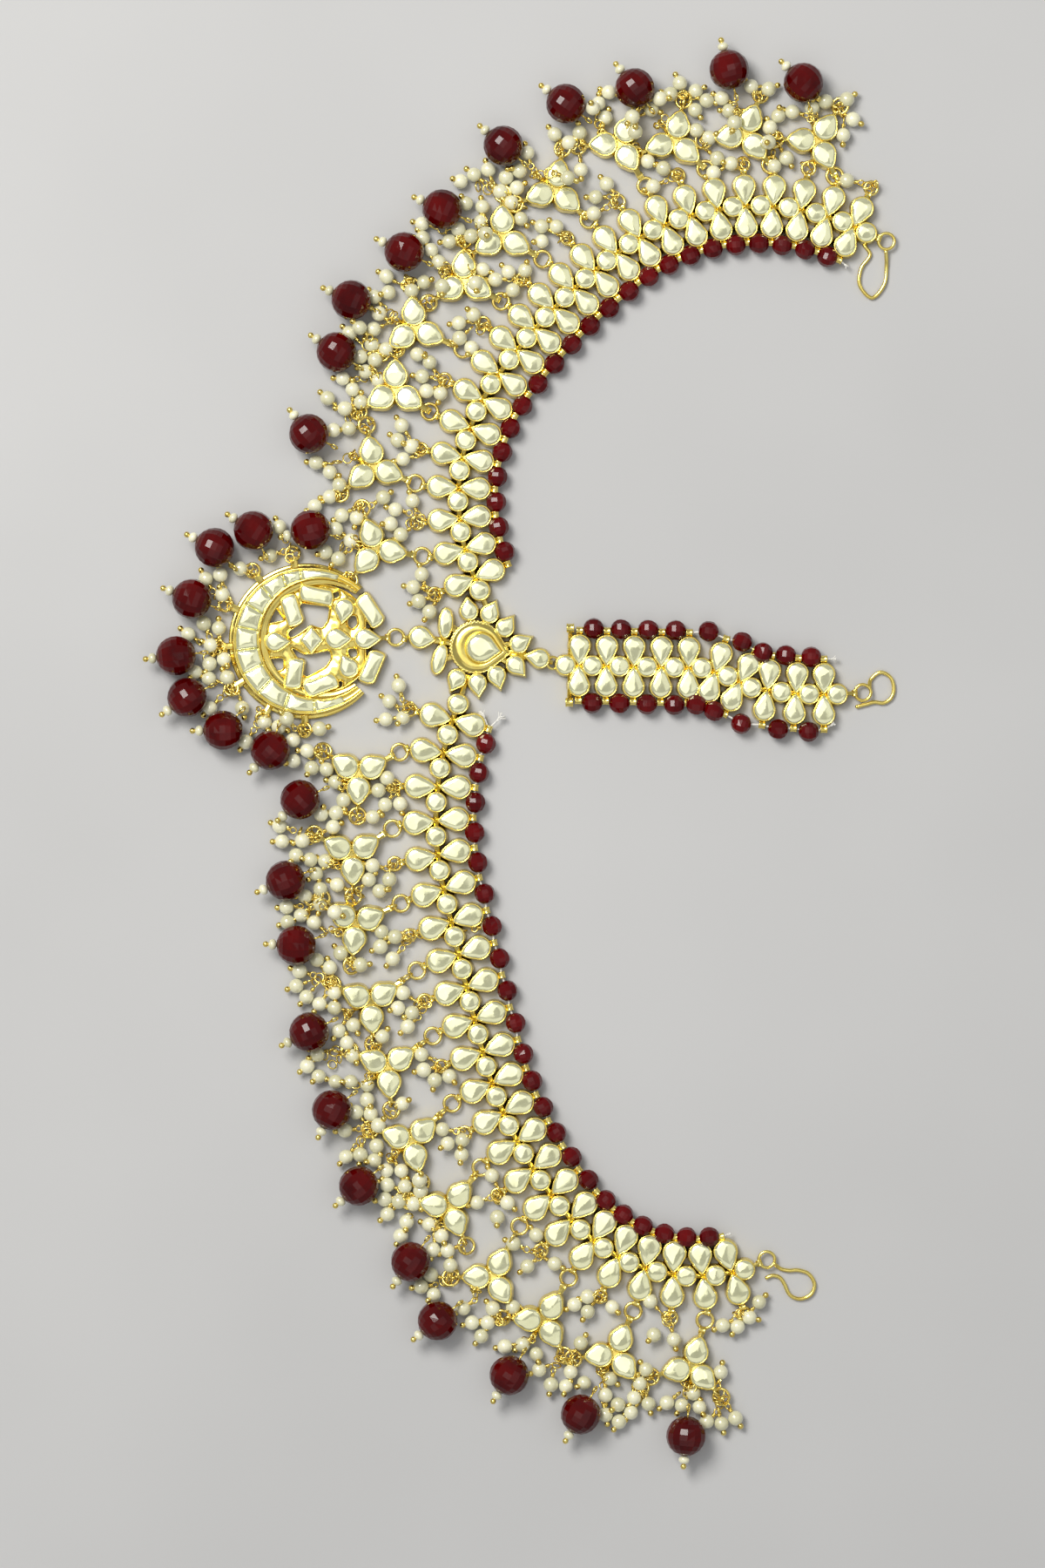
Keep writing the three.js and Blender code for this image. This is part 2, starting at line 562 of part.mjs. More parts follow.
// The fringe round the crescent: the ring of pearls, as their outer form, and seven large beads.
function fringeSolid() {
  const { inner, outer, first, last, low, high, steps } = FRINGE;
  const arc = (radius) => Array.from({ length: steps + 1 }, (_, i) => (
    ahead([0, 0], first + ((last - first) * i) / steps, radius)));
  const solids = [solid(prism([...arc(outer), ...arc(inner).reverse()], low, high))];
  const middle = LARGE_BEAD / 2;
  for (const { angle, reach } of FRINGE_BEADS) {
    const tail = ahead([0, 0], angle, reach + middle + SEED.out);
    solids.push(ball(middle, [...ahead([0, 0], angle, reach), middle], SIDES.bead));
    solids.push(solid(seedTail(), [...tail, middle], angle));
  }
  return join(solids);
}

// A hook: the eye in the lug of its band, and the crook of round wire.
function hookSolid(hook) {
  const end = linksOf(hook.arm).at(-1).to;
  const eye = ahead(end, hook.heading, hook.lug + RING.mid);
  const [high, low] = HOOK_HEIGHTS;
  const points = hook.wire.map(([x, y], i) => new THREE.Vector3(x, y, i === 0 ? high : low));
  const section = new THREE.Shape(oval({ length: HOOK_WIRE, width: HOOK_WIRE }, SIDES.wire)
    .map(([x, y]) => new THREE.Vector2(x, y)));
  const wire = new THREE.ExtrudeGeometry(section, {
    steps: 2 * points.length,
    bevelEnabled: false,
    extrudePath: new THREE.CatmullRomCurve3(points),
  });
  return join([solid(wire), jumpRing(eye, hook.heading)]);
}

// ---------------------------------------------------------------- assembly

const GOLD = { color: 0xe0a93a, roughness: 0.25, metalness: 1.0 };
const RED = { color: 0x7a0d14, roughness: 0.15, metalness: 0.0 };

const matha_patti = new THREE.Group();

function piece(name, manifold, look, at = [0, 0], turn = 0) {
  const mesh = new THREE.Mesh(geometryOf(manifold), new THREE.MeshStandardMaterial(look));
  mesh.name = name;
  mesh.position.set(at[0], at[1], 0);
  mesh.rotation.z = radians(turn);
  matha_patti.add(mesh);
}

function addArm(side, band, trefoils, split) {
  const links = linksOf(band);
  piece(`${side}_band_1`, armSolid(band, trefoils, 1, split), GOLD);
  piece(`${side}_band_2`, armSolid(band, trefoils, split + 1, links.length), GOLD);
  piece(`${side}_bead_string`, stringSolid(band, -1), RED);
  trefoils.forEach((row, i) => {
    const number = String(i + 1).padStart(2, '0');
    const centre = ahead(lugOf(band, links[row.link - 1]), row.hang, row.reach);
    const bead = ahead(centre, row.bead, row.drop);
    piece(`${side}_trefoil_${number}`, trefoilSolid(row), GOLD, centre, row.hang);
    piece(`${side}_bead_drop_${number}`, dropSolid(row), RED, bead, row.bead);
  });
}

piece('star_brooch', starSolid(), GOLD);
piece('crescent_pendant', crescentSolid(), GOLD, CRESCENT_AT);
piece('crescent_fringe', fringeSolid(), RED, CRESCENT_AT);
piece('strap_band', strapSolid(), GOLD);
piece('strap_bead_string_1', stringSolid(STRAP, 1), RED);
piece('strap_bead_string_2', stringSolid(STRAP, -1), RED);
addArm('right', RIGHT_ARM, RIGHT_TREFOILS, 12);
addArm('left', LEFT_ARM, LEFT_TREFOILS, 12);
for (const hook of HOOKS) piece(hook.name, hookSolid(hook), GOLD);

export default matha_patti;
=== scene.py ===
"""A matha patti of kundan stones, pearls and red beads, lying flat with its stones up."""

import math

import bpy
import numpy as np
from mathutils import Matrix, Vector
from mathutils.geometry import delaunay_2d_cdt


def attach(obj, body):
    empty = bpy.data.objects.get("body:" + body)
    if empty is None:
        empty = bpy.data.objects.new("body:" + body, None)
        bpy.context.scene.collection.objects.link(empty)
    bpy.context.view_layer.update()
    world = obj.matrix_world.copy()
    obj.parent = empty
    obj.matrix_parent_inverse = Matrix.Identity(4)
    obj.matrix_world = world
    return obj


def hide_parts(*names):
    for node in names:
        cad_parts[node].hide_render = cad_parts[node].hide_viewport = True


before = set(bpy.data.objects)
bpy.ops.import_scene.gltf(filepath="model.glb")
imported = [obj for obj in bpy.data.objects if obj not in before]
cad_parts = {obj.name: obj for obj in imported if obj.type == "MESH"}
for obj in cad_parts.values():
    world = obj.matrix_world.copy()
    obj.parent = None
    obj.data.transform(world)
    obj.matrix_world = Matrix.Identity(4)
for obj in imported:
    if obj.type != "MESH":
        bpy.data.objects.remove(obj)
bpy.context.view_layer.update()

MM = 0.001
rng = np.random.default_rng(11)

# ---------------- dimensions, in millimetres
SETTING_TOP = 3.2
LINK_LENGTH = 8.1
LINK_DROP_IN = 0.15
ROUND_STONE = 5.5
TREFOIL_STONE = (7.7, 6.4)
TREFOIL_REACH = 4.35
TREFOIL_HEART = (5.0, 5.0)
HEART_STEPS = [(0.3, 0.1), (0.0, 0.4), (0.0, 1.6), (0.6, 2.2), (1.4, 2.4)]
TREFOIL_CROTCH = 4.6
LUG_STAND = 0.95
LUG_BAR = (1.1, 0.8, 2.4)  # width, lowest and highest point
RING_MID = 2.1
RING_WIRE = 0.43
RING_HEIGHT = 1.5
LARGE_BEAD = 5.22
LARGE_BEAD_HEIGHT = 5.25
SMALL_BEAD = 2.7
SMALL_BEAD_HEIGHT = 2.72
THREAD = 0.26
TUBE_RADIUS = 0.95
TUBE_LIP = 1.08
TUBE_LENGTH = 1.8
TUBE_HEIGHT = 2.3
PEARL = 1.98
PIN_WIRE = 0.22
PIN_LOOP = PEARL + 2.2
PILE_TOP = 10.25

# Each run is a number of links, their pitch and the turn from one to the next. The round stones stand
# nudged along from where the links meet.
RIGHT_ARM = dict(start=(0.0, 14.6), heading=112.4, side=90, lean=0, half=4.4, nudge=0.45,
                 drop=(8.3, 6.0), runs=[(8, 8.03, -8.36), (6, 7.27, -2.79), (9, 7.27, -6.84)])
LEFT_ARM = dict(start=(-5.8, -14.6), heading=-108.7, side=-90, lean=5, half=4.7, nudge=-0.45,
                drop=(8.5, 6.35),
                runs=[(6, 8.94, 6.26), (5, 8.72, 0.34), (6, 8.27, 4.55), (6, 7.7, 10.09)])
STRAP = dict(start=(22.2, -4.5), heading=-1.2, side=90, lean=0, half=4.2, nudge=-0.15, drop=(8.3, 5.9),
             runs=[(5, 7.15, 0), (1, 7.1, -16.8), (1, 6.9, -8), (1, 7.9, 18), (2, 7.3, 4)])
STRAP_PLATE = ((23.5, 5.2), (23.2, -14.2))
STRAP_MEET = (18.9, -3.9)

# Link, the way it hangs, the reach to its middle, and the way and distance to its large bead.
RIGHT_TREFOILS = [
    (2, 170, 14.2, 165, 17.7), (4, 159, 13.9, 153, 18.7), (6, 149, 12.5, 147, 18.3),
    (8, 156, 15.6, 157, 18.1), (10, 151, 12.9, 155, 17.4), (12, 150, 14.1, 157, 17.1),
    (14, 139, 13.9, 140, 17.5), (16, 122, 14.8, 144, 17.5), (18, 138, 12.9, 128, 17.1),
    (20, 129, 12.5, 105, 16.9), (22, 117, 12.2, 104, 15.4),
]
LEFT_TREFOILS = [
    (2, 208, 14.1, 204, 16.7), (4, 212, 14.6, 202, 18.5), (6, 204, 15.0, 200, 16.4),
    (8, 214, 16.8, 206, 17.6), (10, 215, 16.5, 217, 18.1), (12, 223, 16.6, 220, 17.8),
    (14, 232, 15.0, 234, 17.5), (16, 242, 16.9, 218, 18.3), (18, 239, 14.5, 238, 17.1),
    (20, 247, 14.1, 240, 18.0), (22, 254, 14.6, 265, 17.9),
]

STAR_TURN = -10
STAR_CENTRE = (16.2, 13.9)
STAR_STONE = (8.9, 7.4)
STAR_STONE_X = 0.9
STAR_STONE_TOP = 4.9
STAR_STEPS = 168  # points round the border, one notch to every three
NOTCH = 0.055
STAR_PETALS = [(-4.8, 9.6, 107), (1.0, 9.8, 74), (5.7, 6.9, 64), (10.3, 3.2, 39)]
PETAL = (6.5, 5.0)
STAR_OVAL = (8.5, 4.1)
STAR_OVAL_AT = (-10.0, 4.8)
STAR_FRONT, STAR_BACK = -15.3, 14.9
# Each is a place along the star, a stone and the way its tip points.
STAR_DROPS = [(STAR_FRONT, (7.3, 5.9), 0), (STAR_BACK, (7.0, 5.2), 180)]
# Each is a share of the way from the border's outer edge to the stone, a height, and whether milled.
STAR_BORDER = [(0.1, 0.0, 0), (0.02, 0.4, 0), (0.0, 2.3, 0), (0.0, 2.7, 1), (-0.03, 2.95, 1),
               (0.0, 3.2, 1), (0.07, 3.3, 1), (0.12, 3.15, 0), (0.18, 3.35, 0), (0.28, 3.7, 0),
               (0.4, 3.93, 0), (0.55, 4.05, 0), (0.7, 4.05, 0), (0.85, 3.95, 0), (1.02, 3.75, 0)]

CRESCENT_AT = (-45.4, 1.8)
CRESCENT_RADIUS = 20.35
HOLLOW = (3.4, 0.55, 15.9)  # centre and radius of the channel's inner edge
CHANNEL_WIDTH = 4.2
CHANNEL_WALL = 1.75
# Each is a step from the outer (0) or inner (1) edge, which edge, and a height.
CRESCENT_PROFILE = [
    (0.25, 0, 0.0), (0.0, 0, 0.2), (0.0, 0, 0.9), (0.2, 0, 1.15), (0.4, 0, 1.22), (0.9, 0, 1.25),
    (1.02, 0, 1.4), (1.1, 0, 3.3), (1.25, 0, 3.6), (1.5, 0, 3.7), (1.75, 0, 3.6), (1.85, 0, 3.0),
    (0.25, 1, 3.0), (0.2, 1, 3.55), (-0.05, 1, 3.7), (-0.3, 1, 3.5), (-0.42, 1, 2.95),
    (-0.6, 1, 2.75), (-1.3, 1, 2.68), (-2.0, 1, 2.6), (-2.2, 1, 2.4), (-2.2, 1, 0.0)]
CRESCENT_LOOPS = [99 + 28.3 * i for i in range(7)]
# Each is a place from the crescent's centre, a length, a width and the way it points.
CRESCENT_TEARDROPS = [(-7.3, -0.2, 7.2, 5.4, 0), (8.5, 0.6, 7.4, 5.8, 0), (16.1, 0.6, 7.4, 5.6, 0),
                      (9.7, 7.7, 7.2, 5.4, -100), (10.7, -6.3, 7.0, 5.4, 118)]
CRESCENT_BAGUETTES = [(-3.8, 8.0, 8.3, 4.6, 108), (-3.1, -8.5, 8.3, 4.6, 82),
                      (2.6, 11.9, 9.2, 4.4, -11), (3.8, -11.5, 9.2, 4.4, 21),
                      (16.6, 8.0, 9.2, 4.4, -57), (17.1, -6.8, 9.2, 4.4, 67)]
CRESCENT_KITE = (1.3, 0.3, 6.6, 7.9)
CHANNEL_EDGES = [63, 95, 110, 129, 148, 168, 188, 207.5, 227, 251.5, 277, 303]
# The openwork plate inside the crescent: its edge, a step in and a height each, and its holes.
PLATE_RADIUS = 14.3
PLATE_CUT = 15.6
PLATE_EDGE = [(0.3, 0.3), (0.0, 0.5), (0.0, 2.0), (0.1, 2.2), (0.26, 2.2), (0.38, 1.75), (0.6, 1.5)]
OPENWORK_HOLES = [
    [(-9.8, 7.0), (-8.6, 9.1), (-5.9, 5.5), (-10.5, 4.5)],
    [(-10.5, -4.8), (-6.1, -4.5), (-6.1, -7.3), (-8.9, -8.0)],
    [(-1.6, 9.8), (5.9, 8.9), (5.5, 5.5), (4.1, 3.4), (1.1, 4.3), (-1.6, 2.2), (-4.2, 0.8), (-4.8, 2.2),
     (-1.6, 4.5)],
    [(-3.9, -1.8), (-0.5, -3.7), (2.7, -3.2), (5.9, -2.5), (6.4, -4.3), (5.0, -6.6), (0.0, -9.3),
     (-1.6, -7.7), (-2.0, -4.8)],
    [(6.3, 12.2), (8.3, 13.0), (8.6, 11.6), (6.9, 11.0)],
    [(11.0, 6.4), (12.9, 6.6), (13.2, 4.2), (11.8, 3.2), (10.8, 4.4)],
    [(10.8, -2.2), (13.0, -2.0), (13.2, -4.0), (11.4, -4.4)],
    [(7.2, -10.8), (9.4, -10.4), (9.2, -12.2), (7.4, -12.4)],
]
FRINGE_BEADS = [(115.5, 31.8), (134.5, 34.0), (159.8, 31.7), (186.5, 34.1), (205.4, 34.3),
                (227.2, 31.8), (252.0, 30.0)]
TIKKA_RING = (-22.1, 2.8)
HOOKS = [
    ("right_hook", RIGHT_ARM, 3.6, -22,
     [(105.9, 103.9), (106.1, 99.8), (105.5, 94.9), (102.3, 91.5), (99.1, 94.8), (99.5, 99.2),
      (101.8, 102.6), (100.3, 105.2)]),
    ("left_hook", LEFT_ARM, 3.8, 24,
     [(76.6, -160.6), (78.4, -162.1), (80.6, -162.6), (83.0, -162.5), (85.8, -163.5),
      (87.3, -166.3), (86.2, -169.0), (83.4, -170.0), (80.8, -168.9), (79.4, -166.1),
      (78.2, -164.4), (76.4, -163.9), (74.8, -164.5)]),
    ("strap_hook", STRAP, 4.5, 4,
     [(101.6, -10.5), (102.0, -8.2), (104.5, -6.3), (107.1, -7.6), (108.0, -10.4), (107.4, -12.9),
      (105.4, -14.3), (103.0, -14.1), (101.0, -14.6), (98.4, -15.3)]),
]

# Where the pearls lie, the lower ones first.
PEARL_PLACES = [
    (64.8, 140.5), (-31.8, -132.5), (30.7, 142), (2.1, -72.5), (-52.9, -20.5), (-33.1, -121.1),
    (-24.5, -139.8), (-37.9, 31.1), (-32, 76.1), (-27.2, -130.5), (-74.2, -6.4), (-28.6, 91.6),
    (-26.5, 69.8), (-17.9, 92.7), (-47, -70), (10.1, 124.5), (-35.6, 70), (-18.3, -95.7), (-47.7, -54.3),
    (-42.4, -92.7), (-49.9, -71.6), (1.4, 107.7), (-34.5, 81.1), (15.3, -188.4), (-5.6, 108.9),
    (1.9, -176.1), (-37.7, -43.4), (-40.4, 25), (-34.7, -103.6), (-15.6, -141.8), (-2.4, 78.4),
    (-70.6, -4.3), (-49.5, -24.3), (86.9, 141.1), (61, 123.4), (-37.9, -68.9), (49.6, 144.8), (45.1, 120.5),
    (77.8, 138.4), (-21.1, -144.5), (-11.3, 101.4), (-50.4, -18.6), (27.8, 141.1), (44.8, 140.7),
    (29.6, 113.4), (76, 136.4), (-23.6, 79.3), (-12.4, -168.6), (7.3, 115.5), (18.5, -192.3),
    (-45.2, -91.1), (-27.7, 78.9), (-27.9, 75.2), (-41.5, -43.4), (39.6, 138), (32.8, -200.2),
    (58.5, 143.2), (-29.5, -118), (-68.1, 19.1), (-17.2, -144.5), (-24.3, -143.4), (-28.6, -122),
    (8.5, 93.4), (89.8, 142.5), (-12.7, 103.6), (-32.7, -105.7), (56.4, -193.6), (-15.8, -139.3),
    (8.7, -155.5), (-40.4, -31.6), (-71.8, 17.7), (-37.7, -113.2), (46.4, 143.4), (-27, -123.9),
    (-38.3, -45.9), (-76.3, 3.6), (0.1, 111.4), (-13.8, 66.6), (-45.8, -64.8), (-38.6, 56.8), (19.6, 110),
    (-66.1, -7.7), (-32.2, 33.9), (40.1, -195.7), (23.5, -189.1), (41.7, -192), (-19.3, -149.8),
    (-16.1, 106.6), (-33.8, 28), (-40.8, -55.5), (25.5, 134.1), (-2.2, -176.1), (6.9, 122.7),
    (-43.6, -31.4), (-33.6, 67.7), (22.8, 122.3), (-19.7, -140.5), (-12.7, -157.3), (-4.7, -128.9),
    (36, -197.5), (-56.1, -19.5), (3.2, -172.5), (39.2, -199.5), (-29.5, -114.3), (-41.8, -66.6),
    (-14.7, 95.5), (-29.7, 72.3), (11, -181.8), (-38.1, -93.9), (-41.8, -63.2), (-62.2, -15.7),
    (-34.3, -132.7), (-36.3, 34.5), (-42.9, -58.9), (67.1, -177), (8, -170.9), (-37.2, 23.4), (-38.1, -90),
    (0.3, -179.5), (52.6, -197.7), (-34.3, 57.3), (-43.6, -71.6), (-1.3, 94.8), (-29.3, -59.8),
    (-13.6, -163.2), (-28.3, -57.3), (-71.1, -7.7), (47.8, 125.2), (-24.5, -137.3), (62.8, -202.3),
    (-22.7, -75.2), (-24.7, -40.9), (-13.6, 74.8), (5.3, 119.3), (9.4, 112), (-10.2, -125.7),
    (22.3, -192.5), (-4.5, -172.3), (65.1, 126.6), (-31.1, 64.3), (43.7, 127.3), (-9.9, 94.1),
    (-44.5, -55.2), (-26.1, -73.4), (79.4, 127.5), (36.2, -201.8), (-8.8, -157.5), (-15.2, -166.8),
    (26.2, 124.8), (-21.3, -94.1), (-37.9, -35), (-15.4, 19.1), (-4.3, 115.9), (-14.7, -110.2),
    (-70.6, -15.7), (59.4, -202), (32.6, 138.4), (-34.7, -39.3), (16, 106.4), (66.2, 136.6), (-16.1, 12.3),
    (-27.9, -133), (-4.9, -131.8), (0.5, 115), (-46.5, -50.2), (-24.9, 92.5), (9.4, 120.2), (81, 139.8),
    (70.1, -174.8), (48.7, -197), (-5.4, 80.9), (40.3, 134.5), (-20.6, -136.4), (-21.5, 28.6),
    (61.9, -189.3), (-42.7, -105.7), (-26.5, -37), (23.5, 132.3), (-36.1, -79.3), (-32, 83.2),
    (-18.1, 52.7), (-31.3, -82.7), (-15.4, -106.1), (28, -169.3), (-7.9, 106.4), (-7.9, -160.9),
    (-54.9, 24.1), (12.1, 129.3), (27.1, -191.8), (-12, -112.7), (-33.1, -98.4), (77.3, 126.1),
    (14.6, -184.3), (51.7, 147), (-50.6, -67.7), (-13.3, -150.5), (-52.4, 31.6), (-1.5, 123.6),
    (24.6, -171.4), (-36.8, -100.2), (3.5, 95.9), (-52.4, -46.4), (-23.3, 32.3), (-39.3, 39.5),
    (-47.9, -88.4), (32.6, -195), (63.2, 143.2), (-26.5, 87.3), (6.4, -182.3), (-39.3, 45.9), (-67.4, 13.9),
    (-36.8, 42.5), (75.3, 145.9), (-47.2, -84.3), (-62.7, 20.7), (-2.7, 107.7), (62.1, 127.3),
    (43.7, -169.8), (-70.4, 0.7), (-27.9, 83.2), (-11.3, 66.6), (16.2, 109.8), (-45.2, -26.8),
    (-18.8, -98.2), (-8.6, -129.3), (-1.3, -144.5), (-34, -113.2), (57.1, -198), (56.7, 145), (95.7, 122),
    (-35.6, -125.5), (14.6, -153.2), (-17.4, 15.9), (-10.2, -153.4), (-21.5, 54.3), (-42.7, -81.4),
    (-24.5, 97), (-68.3, 5.2), (-20.2, 49.3), (-21.1, -40.7), (-26.3, -63.4), (7.3, 98.2), (33.9, -190.7),
    (28, -173.2), (-35.4, 62.5), (-45.2, -109.1), (-43.3, 36.6), (11.7, 98.6), (1.9, 124.8), (66.4, -201.1),
    (-21.3, -9.8), (-28.1, -44.1), (-42.2, -111.8), (-67, -3), (43.9, -197.3), (33.5, 145), (-8.1, -111.8),
    (45.3, -179.3), (-25.2, -33.4), (-20.6, 58), (-20.8, -153.4), (63.5, -176.8), (72.8, -170.7),
    (-20.2, -90), (94.2, 134.1), (0.3, 98.9), (43.2, -188.4), (-22.2, 36.1), (70.7, 146.6), (-16.1, 76.4),
    (50.5, -180.5), (-37.4, -61.8), (-39.3, -83.4), (-23.8, -60.5), (-25.6, -101.4), (-13.3, 9.5),
    (-24.3, -147.7), (-51.8, -50.5), (-5.6, 84.8), (-42.9, 48.4), (34.4, -172), (-1.8, 87), (-23.8, -13.9),
    (12.3, -161.4), (-20.2, -18.2), (-5.2, 121.8), (7.1, -144.8), (-20.4, -118.9), (-26.1, -77.7),
    (-72.2, 6.4), (-48.8, -29.5), (56.2, 140.5), (97.3, 138), (3, -137.7), (19.4, -160.7), (4.4, -148.6),
    (-39.9, 65.2), (30.1, 117.7), (95.7, 143.2), (-14.7, 110), (26.2, -181.4), (-22.9, -81.1),
    (-15.2, 70.9), (-24.7, -18.6), (-61.3, -24.5), (-17.7, 38.4), (-42, -21.1), (19.4, 134.1), (56.4, 135),
    (-25.4, 39.3), (33, 121.1), (75.1, 131.6), (61.2, 133.4),
]
# Where the seed pearls of some large beads lie, and how near its bead one is.
SEED_REACH = 7.0
SEEDS = [(-49.9, 29.3), (-48.1, 60.0), (79.8, 151.4), (-51.3, -43.6), (-53.6, -77.3), (-41.3, -125.7),
         (-64.9, 34.1), (-74.2, 28.4), (-80.2, -15.5), (-71.8, -21.6), (-58.8, -31.1)]


# ---------------- plan geometry
def unit(degrees):
    """The direction at an angle in the plan."""
    return np.array([math.cos(math.radians(degrees)), math.sin(math.radians(degrees))])


def ahead(point, degrees, distance):
    """The place so far from a point in a direction."""
    return np.asarray(point, float) + distance * unit(degrees)


def links_of(band):
    """The links of a band, end to end, each with its middle and the way its drops lie."""
    links, at, heading = [], np.array(band["start"], float), band["heading"]
    for count, pitch, turn in band["runs"]:
        for _ in range(count):
            if links:
                heading += turn
            end = ahead(at, heading, pitch)
            links.append(dict(number=len(links) + 1, start=at, end=end, heading=heading,
                              middle=ahead(at, heading, pitch / 2),
                              out=heading + band["side"] + band["lean"]))
            at = end
    return links


def teardrop(length, width, count=28, bulge=0.05):
    """Outline of a round end and two sides that run to a tip at +x, a little bowed."""
    radius = width / 2
    centre = radius - length / 2
    reach = length / 2 - centre
    lean = math.acos(radius / reach)
    sides = max(count // 5, 3)
    t = np.linspace(lean, 2 * math.pi - lean, count - 2 * sides + 1)
    arc = np.stack([centre + radius * np.cos(t), radius * np.sin(t)], axis=1)
    share = np.arange(sides)[:, None] / sides
    bow = bulge * width * np.sin(math.pi * share)
    tip = np.array([length / 2, 0.0])
    upper = tip + (arc[0] - tip) * share + bow * unit(math.degrees(lean))
    lower = (upper * (1, -1))[1:][::-1]
    return np.vstack([upper, arc, lower])


def leaf(length, width, count=28):
    """Outline of a teardrop whose sides run straight to its tip."""
    return teardrop(length, width, count, 0.0)


def oval(length, width, count=24):
    t = np.linspace(0, 2 * math.pi, count, endpoint=False)
    return np.stack([np.cos(t) * length / 2, np.sin(t) * width / 2], axis=1)


def rounded(corners, radius, steps=4, edge=0.8):
    """A polygon with its corners rounded off, and points along its long edges."""
    corners = np.asarray(corners, float)
    turned = []
    for i, corner in enumerate(corners):
        before, after = corners[i - 1] - corner, corners[(i + 1) % len(corners)] - corner
        sides = np.linalg.norm(before), np.linalg.norm(after)
        reach = min(radius, 0.46 * min(sides))
        for k in range(steps):
            s = (k + 0.5) / steps
            turned.append(corner + before / sides[0] * reach * (1 - s) ** 2
                          + after / sides[1] * reach * s ** 2)
    made = []
    for i, point in enumerate(turned):
        step = turned[(i + 1) % len(turned)] - point
        parts = math.ceil(np.linalg.norm(step) / edge)
        made += [point + step * k / parts for k in range(parts)]
    return np.array(made)


def baguette(length, width):
    """A long stone with two opposite corners cut."""
    x, y = length / 2, width / 2
    return rounded([(x, y * 0.3), (x * 0.8, y), (-x, y), (-x, -y * 0.3), (-x * 0.8, -y), (x, -y)], 1.1, 5)


def kite(length, width):
    return rounded([(length / 2, 0), (0, width / 2), (-length / 2, 0), (0, -width / 2)], 0.5)


def inset(outline, distance):
    """The outline moved inwards, with its sharp corners mitred."""
    before = outline - np.roll(outline, 1, axis=0)
    after = np.roll(outline, -1, axis=0) - outline
    before /= np.linalg.norm(before, axis=1)[:, None]
    after /= np.linalg.norm(after, axis=1)[:, None]
    normal = np.stack([-(before + after)[:, 1], (before + after)[:, 0]], axis=1)
    size = np.linalg.norm(normal, axis=1)[:, None]
    miter = np.minimum(2.0 / np.maximum(size, 0.4), 2.4)
    return outline + normal / np.maximum(size, 1e-6) * distance * miter


def placed(outline, at=(0, 0), turn=0.0):
    """The outline turned and moved."""
    a = math.radians(turn)
    spin = np.array([[math.cos(a), -math.sin(a)], [math.sin(a), math.cos(a)]])
    return outline @ spin.T + np.asarray(at, float)


# ---------------- mesh building
def add_object(name, data):
    """A new object in the scene."""
    made = bpy.data.objects.new(name, data)
    bpy.context.scene.collection.objects.link(made)
    return made


class Builder:
    """Points and faces of one piece."""

    def __init__(self):
        self.points, self.faces, self.smooth, self.total = [], [], [], 0

    def add(self, points, faces, smooth=True):
        faces = np.asarray(faces)
        self.points.append(np.asarray(points, float))
        self.faces.append(faces + self.total)
        self.smooth.append(np.full(len(faces), smooth))
        self.total += len(points)

    def make(self, name, material):
        points = np.concatenate(self.points) * MM
        faces = [row for block in self.faces for row in block.tolist()]
        mesh = bpy.data.meshes.new(name)
        mesh.from_pydata(points.tolist(), [], faces)
        mesh.polygons.foreach_set("use_smooth", np.concatenate(self.smooth))
        mesh.materials.append(material)
        mesh.validate()
        return add_object(name, mesh)


def grid_faces(rows, columns, wrap_rows=False):
    """Quads of a tube of so many rings, each of so many points."""
    last = rows if wrap_rows else rows - 1
    i, k = np.meshgrid(np.arange(last), np.arange(columns), indexing="ij")
    j, m = (i + 1) % rows, (k + 1) % columns
    quads = [i * columns + k, i * columns + m, j * columns + m, j * columns + k]
    return np.stack(quads, axis=-1).reshape(-1, 4)


def fan_faces(start, count, centre, flip=False):
    """Triangles from a ring of points to a centre point."""
    k = np.arange(count)
    made = np.stack([start + k, start + (k + 1) % count, np.full(count, centre)], axis=1)
    return made[:, ::-1] if flip else made


def loft(builder, rings, smooth=True, caps=True):
    """Rings of the same number of points, from the lowest up, counterclockwise seen from above."""
    rings = [np.asarray(r, float) for r in rings]
    columns = len(rings[0])
    builder.add(np.concatenate(rings), grid_faces(len(rings), columns), smooth)
    if caps:
        for ring, flip in ((rings[0], True), (rings[-1], False)):
            points = np.vstack([ring, ring.mean(axis=0)])
            builder.add(points, fan_faces(0, columns, columns, flip), False)


def lifted(outline, z):
    """The outline at a height."""
    return np.column_stack([outline, np.full(len(outline), z)])


def basis(axis, spin=0.0):
    """Columns across, across and along the axis."""
    w = np.asarray(axis, float)
    w = w / np.linalg.norm(w)
    guess = np.array([0, 0, 1.0]) if abs(w[2]) < 0.9 else np.array([1.0, 0, 0])
    u = np.cross(guess, w)
    u /= np.linalg.norm(u)
    v = np.cross(w, u)
    c, s = math.cos(spin), math.sin(spin)
    return np.column_stack([c * u + s * v, c * v - s * u, w])


